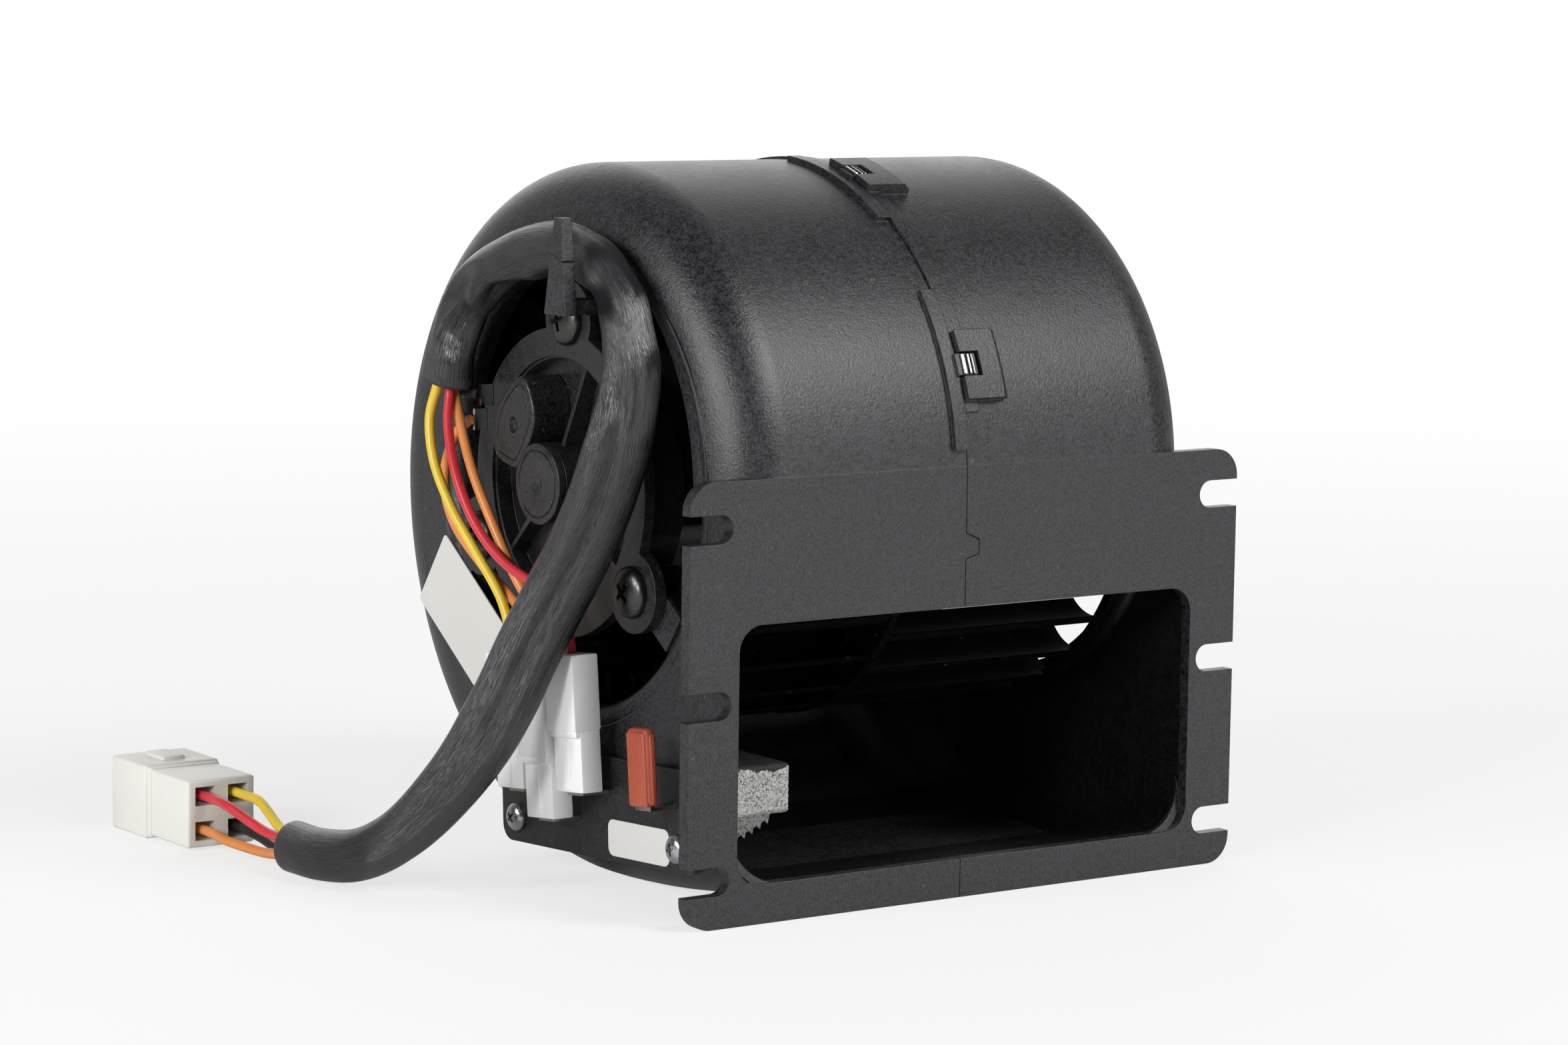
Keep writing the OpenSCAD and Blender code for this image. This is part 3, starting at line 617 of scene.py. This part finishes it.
def onto_left(y, z, x):
    """A matrix whose height axis points out of the left side, at a point in millimetres."""
    out = Matrix(((0, 0, -1), (0, 1, 0), (1, 0, 0))).to_4x4()
    return Matrix.Translation((x * MM, y * MM, z * MM)) @ out


def on_terminal(y, z):
    """A matrix that puts a cap on a terminal that comes out of the plate at a point in millimetres."""
    return Matrix.Translation((TERMINAL_X * MM, y * MM, z * MM)) @ Matrix.Rotation(TERMINAL_LEAN, 4, "X")


def curve_through(points, step=1.5):
    """Points in metres, evenly spaced on a smooth curve through points in millimetres."""
    knots = [Vector(p) for p in points]
    ends = [knots[0] * 2 - knots[1], *knots, knots[-1] * 2 - knots[-2]]
    made = []
    for a, b, c, d in zip(ends, ends[1:], ends[2:], ends[3:]):
        count = max(2, round((c - b).length / step))
        for i in range(count):
            t = i / count
            square = (2 * a - 5 * b + 4 * c - d) * t ** 2
            cube = (3 * b - a - 3 * c + d) * t ** 3
            made.append(0.5 * ((2 * b) + (c - a) * t + square + cube))
    made.append(knots[-1])
    return [p * MM for p in made]


def length_of(points):
    """The length of a line through points."""
    return sum((b - a).length for a, b in zip(points, points[1:]))


def add_wire(name, points, slot, node):
    """A round wire: a curve with one spline and a round bevel."""
    line = bpy.data.curves.new(name, "CURVE")
    line.dimensions = "3D"
    line.bevel_depth = WIRE_WIDTH / 2 * MM
    line.bevel_resolution = 5
    line.use_fill_caps = True
    spline = line.splines.new("POLY")
    spline.points.add(len(points) - 1)
    for place, p in zip(spline.points, points):
        place.co = (*p, 1)
    spline.use_smooth = True
    line.materials.append(finish_of(slot))
    made = bpy.data.objects.new(name, line)
    bpy.context.scene.collection.objects.link(made)
    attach(made, HOUSING)
    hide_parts(node)
    return made


def plug_way(i):
    """The side of the plug's middle on which one of its four ways lies, and the way's own middle."""
    x = -1 if i % 2 == 0 else 1
    z = -1 if i < 2 else 1
    return x, z, PLUG_MIDDLE[0] + x * PLUG_WAY[0], PLUG_MIDDLE[1] + z * PLUG_WAY[1]


def tail_points(i):
    """The route of one wire from the sleeve's end into the plug, in millimetres."""
    x, z, way_x, way_z = plug_way(i)
    start_x, start_y, start_z = TAIL_START
    return [
        (start_x + x * 1.9, start_y, start_z + z * 1.9),
        (start_x + (-2.6 if x < 0 else 2.2), start_y + 10, start_z + (-2.9 if z < 0 else 2.3)),
        (way_x, start_y + 22, way_z - 0.6),
        (way_x, PLUG_BACK - 4, way_z),
        (way_x, PLUG_BACK + 8, way_z),
    ]


# Dents near the sleeve's mouth: place along it, place round it in degrees, their two sizes and the depth
DENTS = (
    (17, 238, 8.5, 50, 2.9), (36, 272, 10.0, 36, 2.8), (24, 176, 7.0, 36, 2.0), (62, 268, 9.0, 34, 1.4),
)
# Pinches of the sleeve beside and below the hook: place along it, length and depth
PINCHES = ((71, 5, 1.0), (84, 5, 0.8), (112, 5, 0.5))
# The slanting fold behind the hook: place along it, how far it slants, length and depth
FOLD = (88, 9, 4.5, 0.6)


def eased(along, start, length):
    """From 0 before a place along the sleeve to 1 a length after it."""
    return min(max((along - start) / length, 0), 1)


def bell(off):
    """1 in the middle of a hollow, falling smoothly to 0 beside it."""
    return math.exp(-(off ** 2))


def sleeve_section(along, angle):
    """Radius of the sleeve in millimetres at a distance along it and an angle round it."""
    lying = eased(along, *SLEEVE_LIES)
    settled = eased(along, *SLEEVE_TURNS) * (1 - lying)
    narrow = 0.88 - 0.16 * settled + 0.08 * lying
    wide = 1.08 + 0.2 * settled - 0.06 * lying
    radius = SLEEVE_WIDTH / 2 * math.hypot(narrow * math.cos(angle), wide * math.sin(angle))
    for at, turn, length, spread, depth in DENTS:
        off = (math.degrees(angle) - turn + 180) % 360 - 180
        away = math.hypot((along - at) / length, off / spread)
        radius -= depth / (1 + math.exp((away - 0.8) / 0.19))
        radius += 0.2 * bell((away - 1.4) / 0.3)
    for at, length, depth in PINCHES:
        radius -= depth * bell((along - at) / length) * (0.4 + 0.6 * math.cos(angle) ** 2)
    at, slant, length, depth = FOLD
    radius -= depth * bell((along - at - slant * math.sin(angle)) / length)
    crumpled = 0.16 + bell((along - 26) / 18)
    seed = Vector((math.cos(angle) * 0.9, math.sin(angle) * 0.9, along / 11))
    radius += noise.noise(seed) * 0.9 * crumpled
    return max(radius + 0.5 * math.exp(-along / 4), 2.8)


def add_sleeve(wall_thickness):
    """The sleeve: a tube extruded loop by loop along its route, with a wall and, on each point, its way round and
    along the tube.
    """
    path = curve_through(SLEEVE, 0.8)
    bm = bmesh.new()
    lay = bm.verts.layers.float_vector.new("lay")
    around = 56
    along = 0.0
    loop = []
    for i, point in enumerate(path):
        ahead = (path[min(i + 1, len(path) - 1)] - path[max(i - 1, 0)]).normalized()
        if i:
            along += (point - path[i - 1]).length / MM
        flat_side = Vector((1, 0, 0)).lerp(Vector((0.6, 0.8, 0)), eased(along, *SLEEVE_TURNS))
        wide = ahead.cross(flat_side).normalized()
        thick = wide.cross(ahead).normalized()
        if i == 0:
            loop = bmesh.ops.create_circle(bm, cap_ends=False, segments=around, radius=1)["verts"]
        else:
            edges = [e for v in loop for e in v.link_edges if e.other_vert(v) in loop]
            grown = bmesh.ops.extrude_edge_only(bm, edges=list(dict.fromkeys(edges)))["geom"]
            new = [g for g in grown if isinstance(g, bmesh.types.BMVert)]
            by_place = {tuple(round(c, 7) for c in v.co): v for v in new}
            loop = [by_place[tuple(round(c, 7) for c in v.co)] for v in loop]
        for k, vert in enumerate(loop):
            angle = math.tau * k / around
            radius = sleeve_section(along, angle) * MM
            vert.co = point + (thick * math.cos(angle) + wide * math.sin(angle)) * radius
            vert.co.z = max(vert.co.z, FLOOR_GAP * MM)
            vert[lay] = (math.cos(angle), math.sin(angle), along / 40)
    made = add_piece("sleeve", bm, HOUSING, "sleeve_black", "harness_sleeve", smooth=80)
    wall = made.modifiers.new("wall", "SOLIDIFY")
    wall.thickness = wall_thickness
    wall.offset = -1
    length_of(path)


class BlowerColours(bpy.types.PropertyGroup):
    """Colours and light of the blower"""

    floor: bpy.props.FloatVectorProperty(
        name="Floor", description="Colour of the pale floor",
        default=(0.86, 0.86, 0.86), min=0, max=1, subtype="COLOR",
    )
    key_power: bpy.props.FloatProperty(
        name="Key lamp", description="Power of the large soft lamp in front",
        default=24.5, min=0, unit="POWER",
    )
    fill_power: bpy.props.FloatProperty(
        name="Fill lamp", description="Power of the soft lamp on the left",
        default=11.0, min=0, unit="POWER",
    )
    back_power: bpy.props.FloatProperty(
        name="Back lamp", description="Power of the soft lamp behind",
        default=5.0, min=0, unit="POWER",
    )
    face_power: bpy.props.FloatProperty(
        name="Face lamp", description="Power of the small lamp left of the camera",
        default=10.0, min=0, unit="POWER",
    )
    low_power: bpy.props.FloatProperty(
        name="Low lamp", description="Power of the small lamp low on the right",
        default=1.7, min=0, unit="POWER",
    )


class BlowerSizes(bpy.types.PropertyGroup):
    """Fine sizes of the blower's small pieces"""

    sleeve_wall: bpy.props.FloatProperty(
        name="Sleeve wall", description="Wall thickness of the vinyl sleeve",
        default=0.7 * MM, min=0, unit="LENGTH",
    )
    moulding_edge: bpy.props.FloatProperty(
        name="Moulding edge", description="Edge radius of small mouldings, in millimetres",
        default=0.5, min=0.1, max=2,
    )
    screw_dome: bpy.props.FloatProperty(
        name="Screw dome", description="Height of a motor screw's head, in millimetres",
        default=3.1, min=1, max=5,
    )


def settings_of(context):
    """The scene's sizes and colours."""
    return context.scene.blower_sizes, context.scene.blower_colours


class BLOWER_OT_camera(bpy.types.Operator):
    """Places the camera"""

    bl_idname = "blower.camera"
    bl_label = "Camera"

    def execute(self, context):
        azimuth, elevation, roll = (math.radians(angle) for angle in CAMERA_TURNS)
        right = Vector((math.cos(azimuth), -math.sin(azimuth), 0))
        level = math.cos(elevation)
        ahead = Vector((math.sin(azimuth) * level, math.cos(azimuth) * level, -math.sin(elevation)))
        up = right.cross(ahead)
        across = right * math.cos(roll) + up * math.sin(roll)
        above = across.cross(ahead)
        lens = bpy.data.cameras.new("camera")
        lens.lens = CAMERA_LENS
        lens.sensor_width = 36
        camera = bpy.data.objects.new("camera", lens)
        turn = Matrix((across, above, -ahead)).transposed().to_4x4()
        camera.matrix_world = Matrix.Translation(CAMERA_PLACE) @ turn
        context.scene.collection.objects.link(camera)
        context.scene.camera = camera
        return {"FINISHED"}


class BLOWER_OT_wiring(bpy.types.Operator):
    """Lays the sleeve, the leads to the resistor and the motor, and the tails to the plug"""

    bl_idname = "blower.wiring"
    bl_label = "Wiring"

    def execute(self, context):
        sizes, _ = settings_of(context)
        add_sleeve(sizes.sleeve_wall)
        for node, route in LEADS.items():
            start = Vector(route[0])
            if node != "lead_motor_orange":
                inside = start + (Vector(SLEEVE[0]) - start) * 0.25 + Vector((0, -0.6, 6))
                route = [inside, *route]
            path = curve_through(route)
            wire = add_wire(node.replace("lead", "wire"), path, slot_of(node), node)
            length_of(path)
        for i, node in enumerate(TAIL_ORDER):
            route = tail_points(i)
            inside = Vector(route[0]) + Vector((0, -7, 0))
            path = curve_through([inside, *route])
            wire = add_wire(node.replace("tail", "plug_wire"), path, slot_of(node), node)
            length_of(path)
        return {"FINISHED"}


class BLOWER_OT_stage(bpy.types.Operator):
    """Lays the pale floor and sets the lamps and the world"""

    bl_idname = "blower.stage"
    bl_label = "Stage"

    def execute(self, context):
        _, colours = settings_of(context)
        bm = bmesh.new()
        bmesh.ops.create_grid(bm, x_segments=1, y_segments=1, size=FLOOR_HALF)
        mesh = bpy.data.meshes.new("floor")
        bm.to_mesh(mesh)
        bm.free()
        floor = bpy.data.objects.new("floor", mesh)
        context.scene.collection.objects.link(floor)
        mesh.materials.append(self.floor_finish(colours))
        for name, (place, width) in LAMPS.items():
            self.lamp(name, place, width, getattr(colours, name + "_power"))
        context.scene.world = bpy.data.worlds.new("world")
        self.light_world(context.scene.world)
        context.scene.view_settings.view_transform = "Standard"
        return {"FINISHED"}

    def light_world(self, world):
        """White to the eye; to the object a pale screen behind it and a dim room in front and above."""
        world.use_nodes = True
        sky = Network(world.node_tree)
        seen = sky.node("ShaderNodeLightPath", output="Is Camera Ray")
        way = sky.node("ShaderNodeTexCoord")
        dot = {"operation": "DOT_PRODUCT"}
        facing = sky.node("ShaderNodeVectorMath", dot, {0: way, 1: SCREEN}, output="Value")
        limits = dict(enumerate(SCREEN_EDGES + SCREEN_STRENGTH, 1))
        screen = sky.node("ShaderNodeMapRange", {}, {"Value": facing, **limits})
        sky.plug(sky.tree.nodes["Background"].inputs["Strength"], screen + seen)
        sky.plug(sky.tree.nodes["Background"].inputs["Color"], (1, 1, 1, 1))

    def floor_finish(self, colours):
        """A pale floor that turns to plain white away from the object, so no horizon shows."""
        made = Finish("pale_floor", roughness=0.8)
        made.shader.inputs["Base Color"].default_value = colour(colours.floor)
        glow = made.node("ShaderNodeEmission", {}, {"Color": (1, 1, 1, 1), "Strength": 1.0})
        seen = made.node("ShaderNodeLightPath", output="Is Camera Ray")
        away = made.node("ShaderNodeVectorMath", {"operation": "LENGTH"}, {0: made.place()}, output="Value")
        smooth = {"interpolation_type": "SMOOTHSTEP"}
        limits = dict(enumerate(FLOOR_FADE + FLOOR_WHITE, 1))
        far = made.node("ShaderNodeMapRange", smooth, {"Value": away, **limits})
        both = made.node("ShaderNodeMixShader", {}, {0: seen * far, 2: glow})
        made.tree.links.new(made.shader.outputs[0], both.socket.node.inputs[1])
        made.tree.links.new(both.socket, made.tree.nodes["Material Output"].inputs["Surface"])
        return made.material

    def lamp(self, name, place, width, power):
        """A square lamp that faces the object."""
        light = bpy.data.lights.new(name, "AREA")
        light.shape = "SQUARE"
        light.size = width
        light.energy = power
        lamp = bpy.data.objects.new(name, light)
        lamp.location = place
        aim = Vector(LAMP_AIM) - Vector(place)
        lamp.rotation_euler = aim.to_track_quat("-Z", "Y").to_euler()
        bpy.context.scene.collection.objects.link(lamp)


class BLOWER_OT_finishes(bpy.types.Operator):
    """Gives every CAD node its procedural finish"""

    bl_idname = "blower.finishes"
    bl_label = "Finishes"

    def execute(self, context):
        for name, node in nodes.items():
            node.data.materials.clear()
            node.data.materials.append(finish_of(slot_of(name)))
        return {"FINISHED"}


class BLOWER_OT_terminal_housings(bpy.types.Operator):
    """Models the three stepped housings on the resistor's terminals"""

    bl_idname = "blower.terminal_housings"
    bl_label = "Terminal housings"

    def execute(self, context):
        sizes, _ = settings_of(context)
        for node, foot in TERMINAL_FEET.items():
            bm = bmesh.new()
            self.shell(bm, on_terminal(*foot), sizes.moulding_edge)
            add_piece(node.replace("tab", "terminal"), bm, HOUSING, "nylon_white", node, smooth=35)
        return {"FINISHED"}

    def shell(self, bm, turn, edge):
        """A narrow foot, a wider head, the step between them and a rib on the foot."""
        add_block(bm, (-2.1, -5.8, 0), (3.5, 5.8, 15), edge, 2, turn)
        add_block(bm, (-3.6, -6.1, 14.2), (3.6, 6.1, 31.8), edge, 2, turn)
        add_block(bm, (-3.2, -5.7, 12.6), (3.4, 5.7, 15), edge * 1.5, 2, turn)
        add_block(bm, (-2.5, -1.0, 0.6), (-1.9, 1.0, 12), 0.2, 1, turn)


class BLOWER_OT_plug(bpy.types.Operator):
    """Models the four-way plug"""

    bl_idname = "blower.plug"
    bl_label = "Plug"

    def execute(self, context):
        sizes, _ = settings_of(context)
        bm = bmesh.new()
        x, z = PLUG_MIDDLE
        ridge = PLUG_BACK + 20
        end = PLUG_BACK + 38
        edge = sizes.moulding_edge
        add_block(bm, (x - 9, PLUG_BACK, z - 8.2), (x + 9, ridge + 2, z + 8.2), edge * 1.4, 3)
        add_block(bm, (x - 10, ridge, z - 9), (x + 10, end, z + 9), edge * 1.4, 3)
        add_block(bm, (x - 9.4, ridge - 1.6, z - 8.6), (x + 9.4, ridge + 1, z + 8.6), edge, 2)
        add_block(bm, (x - 3, ridge + 4, z + 8.5), (x + 3, end - 4, z + 10), edge, 2)
        plug = add_piece("plug", bm, HOUSING, "plug_ivory", "plug_housing", smooth=35)
        cells = bmesh.new()
        for i in range(4):
            self.cell(cells, i, (2.6, 2.3), (PLUG_BACK - 1, PLUG_BACK + 9))
            self.cell(cells, i, (3.4, 2.6), (end - 20, end + 1))
        carve(plug, cells, 35)
        return {"FINISHED"}

    def cell(self, cells, i, half, reach):
        """The room for one way: half its width and height, and the two ends that it runs between."""
        _, _, x, z = plug_way(i)
        add_block(cells, (x - half[0], reach[0], z - half[1]), (x + half[0], reach[1], z + half[1]))


class BLOWER_OT_screws(bpy.types.Operator):
    """Models the motor's and the resistor's cross-recessed screws"""

    bl_idname = "blower.screws"
    bl_label = "Screws"

    def execute(self, context):
        sizes, _ = settings_of(context)
        ring = [math.radians(turn) for turn in SCREW_TURNS]
        self.screws(
            "motor_screw_heads", "screw_black", "motor_screws", MOTOR_FACE,
            [(axle.y / MM - SCREW_RING * math.sin(a), axle.z / MM + SCREW_RING * math.cos(a)) for a in ring],
            radius=6, height=sizes.screw_dome, shank=2, depth=10.9,
        )
        half = PLATE_SCREW_SPAN / 2
        y, z = PLATE_MIDDLE
        self.screws(
            "resistor_screw_heads", "screw_zinc", "resistor_screws", PLATE_FACE,
            [(y + away * math.cos(PLATE_LEAN), z + away * math.sin(PLATE_LEAN)) for away in (-half, half)],
            radius=3.4, height=2.5, shank=1.5, depth=10.3,
        )
        return {"FINISHED"}

    def screws(self, name, slot, node, face, places, radius, height, shank, depth):
        """Domed heads with their shanks on a face on the left, each with a cross recess."""
        profile = [(0, -depth), (shank, -depth), (shank, 0), (radius * 0.96, 0), (radius, 0.35)]
        steps = 8
        for k in range(steps):
            a = math.pi / 2 * k / steps
            profile.append((radius * math.cos(a) ** 0.85, 0.6 + (height - 0.6) * math.sin(a)))
        profile.append((0, height))
        bm = bmesh.new()
        for y, z in places:
            add_turned(bm, profile, onto_left(y, z, face))
        body = add_piece(name, bm, HOUSING, slot, node, smooth=40)
        cutter = bmesh.new()
        for i, (y, z) in enumerate(places):
            at = onto_left(y, z, face) @ Matrix.Rotation(math.radians(12 + 31 * i), 4, "Z")
            for quarter in (0, 90):
                turned = at @ Matrix.Rotation(math.radians(quarter), 4, "Z")
                self.blade(cutter, turned, radius, height)
        carve(body, cutter)

    def blade(self, cutter, at, radius, height):
        """One bar of a cross recess, narrower at its deep end."""
        size = Matrix.Diagonal((radius * 1.15 * MM, radius * 0.24 * MM, height * 1.1 * MM, 1))
        placed = at @ Matrix.Translation((0, 0, height * MM)) @ size
        verts = bmesh.ops.create_cube(cutter, size=1, matrix=placed)["verts"]
        deep = sorted(verts, key=lambda v: (at.inverted() @ v.co).z)[:4]
        middle = sum((v.co for v in deep), Vector()) / 4
        for v in deep:
            v.co = middle + (v.co - middle) * 0.55


# Corners of the lid over the brush, in millimetres behind and above the axle
COVER_OUTLINE = (
    (7.4, 24.6), (4.2, 21), (2.4, 15.5), (3.6, 11), (6.4, 6.6), (9.4, 2.6), (12.5, 2.6),
    (18.6, 4.2), (20.2, 6.5), (20.4, 11), (19.2, 15.5), (15.6, 20.2), (10.8, 23.8),
)


def rounded(corners, rounds):
    """A closed line with its corners cut again and again until it is smooth."""
    line = [Vector(c) for c in corners]
    for _ in range(rounds):
        line = [p for a, b in zip(line, line[1:] + line[:1]) for p in (a.lerp(b, 0.25), a.lerp(b, 0.75))]
    return [tuple(p) for p in line]


class BLOWER_OT_motor_face(bpy.types.Operator):
    """Models the bearing cap and the lid over the brush"""

    bl_idname = "blower.motor_face"
    bl_label = "Motor face"

    def execute(self, context):
        bm = bmesh.new()
        profile = [
            (0, -1.9), (9.5, -1.9), (9.5, -0.55), (9.35, -0.16), (9, 0), (8.05, 0), (7.95, -0.35),
            (7.65, -0.35), (7.55, 0), (2.4, 0), (1.9, -0.12), (1.3, -0.5), (0, -0.6),
        ]
        add_turned(bm, profile, onto_left(axle.y / MM, axle.z / MM, CAP_FACE), 64)
        add_piece("bearing_cap_face", bm, HOUSING, "motor_frame_black", "bearing_cap", smooth=28)
        self.cover()
        return {"FINISHED"}

    def cover(self):
        """The almond-shaped lid over the brush, with a hair line inside its rim and a dimple."""
        bm = bmesh.new()
        outline = rounded(COVER_OUTLINE, 4)
        points = [(LID_FACE * MM, axle.y + y * MM, axle.z + z * MM) for y, z in outline]
        deepened(bm, points, (LID_DEPTH * MM, 0, 0))
        soften(bm, [e for e in bm.edges if all(v.co.x < -75 * MM for v in e.verts)], 0.7, 3)
        lid = min(bm.faces, key=lambda f: f.calc_center_median().x)
        for thickness, depth in ((1.0, 0), (0.12, -0.35), (0.16, 0), (0.12, 0.35)):
            bmesh.ops.inset_region(bm, faces=[lid], thickness=thickness * MM, depth=depth * MM)
        cover = add_piece("brush_cover_face", bm, HOUSING, "motor_frame_black", "brush_cover", smooth=30)
        cutter = bmesh.new()
        middle = Vector((sum(y for y, z in outline), sum(z for y, z in outline))) / len(outline)
        at = onto_left(axle.y / MM + middle.x, axle.z / MM + middle.y, LID_FACE)
        add_turned(cutter, [(0, -1.4), (1.3, -1.2), (2.1, 0.2), (2.1, 1), (0, 1)], at, 24)
        carve(cover, cutter, 30)


class BLOWER_OT_fuse(bpy.types.Operator):
    """Models the red-brown cap on the front terminal"""

    bl_idname = "blower.fuse"
    bl_label = "Thermal fuse"

    def execute(self, context):
        turn = on_terminal(*FUSE_FOOT)
        bm = bmesh.new()
        add_block(bm, (-1.5, -4.1, 0.2), (1.5, 4.1, 17.8), 1.3, 5, turn)
        add_block(bm, (-1.9, -3.6, 0.1), (0.6, 3.7, 17.1), 0.8, 4, turn)
        add_block(bm, (-0.6, -4.35, 0.6), (1.0, -3.0, 16.6), 0.5, 3, turn)
        add_piece("thermal_fuse_cap", bm, HOUSING, "fuse_red", "thermal_fuse", smooth=40)
        return {"FINISHED"}


class BLOWER_OT_resistor(bpy.types.Operator):
    """Roughens the ceramic block in the duct and steps the coil under it"""

    bl_idname = "blower.resistor"
    bl_label = "Resistor block"

    def execute(self, context):
        low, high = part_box("resistor_block")
        high.x += BLOCK_REACH * MM
        bm = bmesh.new()
        add_block(bm, low / MM, high / MM, 0.8, 2)
        bmesh.ops.subdivide_edges(bm, edges=bm.edges[:], cuts=24, use_grid_fill=True)
        middle = (low + high) / 2
        for v in bm.verts:
            rough = noise.fractal(v.co / MM * 0.7, 0.6, 2.2, 4) * 0.28 * MM
            v.co += (middle - v.co).normalized() * (abs(rough) + 0.05 * MM)
        add_piece("resistor_block_rough", bm, HOUSING, "ceramic_grey", "resistor_block", smooth=50)
        self.coil()
        return {"FINISHED"}

    def coil(self):
        """The wound bar under the block, its lower corner stepped turn by turn."""
        low, high = (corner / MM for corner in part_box("resistor_coil"))
        teeth = 7
        before_end, stepped = COIL_STEPPED
        tall = high.z - low.z
        start = high.x - before_end
        profile = [(low.x, high.z), (low.x, low.z + 1), (start, low.z + 1)]
        for i in range(teeth):
            at = start + stepped * i / teeth
            rise = low.z + 1 + tall * 0.6 * (i / teeth) ** 1.3
            profile += [(at, rise), (at + 0.9, rise - 0.9), (at + 1.2, rise + 0.5)]
        profile.append((start + stepped, high.z))
        bm = bmesh.new()
        points = [(x * MM, (low.y + 0.5) * MM, z * MM) for x, z in profile]
        deepened(bm, points, (0, (high.y - low.y - 1) * MM, 0))
        add_piece("resistor_coil_stepped", bm, HOUSING, "coil_grey", "resistor_coil")


class BLOWER_OT_clip_springs(bpy.types.Operator):
    """Lays the bright steel bars on the catch of each snap clip of the housing"""

    bl_idname = "blower.clip_springs"
    bl_label = "Clip springs"

    def execute(self, context):
        bm = bmesh.new()
        for y, z, radius, turn in CLIPS:
            out = Matrix.Translation((0, y * MM, z * MM)) @ Matrix.Rotation(math.radians(turn), 4, "X")
            for x, wide in CLIP_BARS:
                low = (SEAM + x, -2.4, -radius - 2.75)
                add_block(bm, low, (SEAM + x + wide, 2.4, -radius - 2.1), 0.15, 1, out)
        add_piece("clip_springs", bm, HOUSING, "spring_steel", smooth=35)
        return {"FINISHED"}


OPERATORS = (
    BLOWER_OT_camera,
    BLOWER_OT_wiring,
    BLOWER_OT_stage,
    BLOWER_OT_finishes,
    BLOWER_OT_terminal_housings,
    BLOWER_OT_plug,
    BLOWER_OT_screws,
    BLOWER_OT_motor_face,
    BLOWER_OT_fuse,
    BLOWER_OT_resistor,
    BLOWER_OT_clip_springs,
)


class BLOWER_PT_panel(bpy.types.Panel):
    """Lists the blower's settings and builders"""

    bl_label = "Blower"
    bl_idname = "BLOWER_PT_panel"
    bl_space_type = "VIEW_3D"
    bl_region_type = "UI"
    bl_category = "Blower"

    def draw(self, context):
        for group in settings_of(context):
            for name in group.__annotations__:
                self.layout.prop(group, name)
        for operator in OPERATORS:
            self.layout.operator(operator.bl_idname)


CLASSES = (BlowerColours, BlowerSizes, *OPERATORS, BLOWER_PT_panel)


def register():
    for made in CLASSES:
        bpy.utils.register_class(made)
    bpy.types.Scene.blower_sizes = bpy.props.PointerProperty(type=BlowerSizes)
    bpy.types.Scene.blower_colours = bpy.props.PointerProperty(type=BlowerColours)


def unregister():
    del bpy.types.Scene.blower_colours
    del bpy.types.Scene.blower_sizes
    for made in reversed(CLASSES):
        bpy.utils.unregister_class(made)


def main():
    register()
    for operator in OPERATORS:
        group, name = operator.bl_idname.split(".")
        getattr(getattr(bpy.ops, group), name)()


if __name__ == "__main__":
    main()
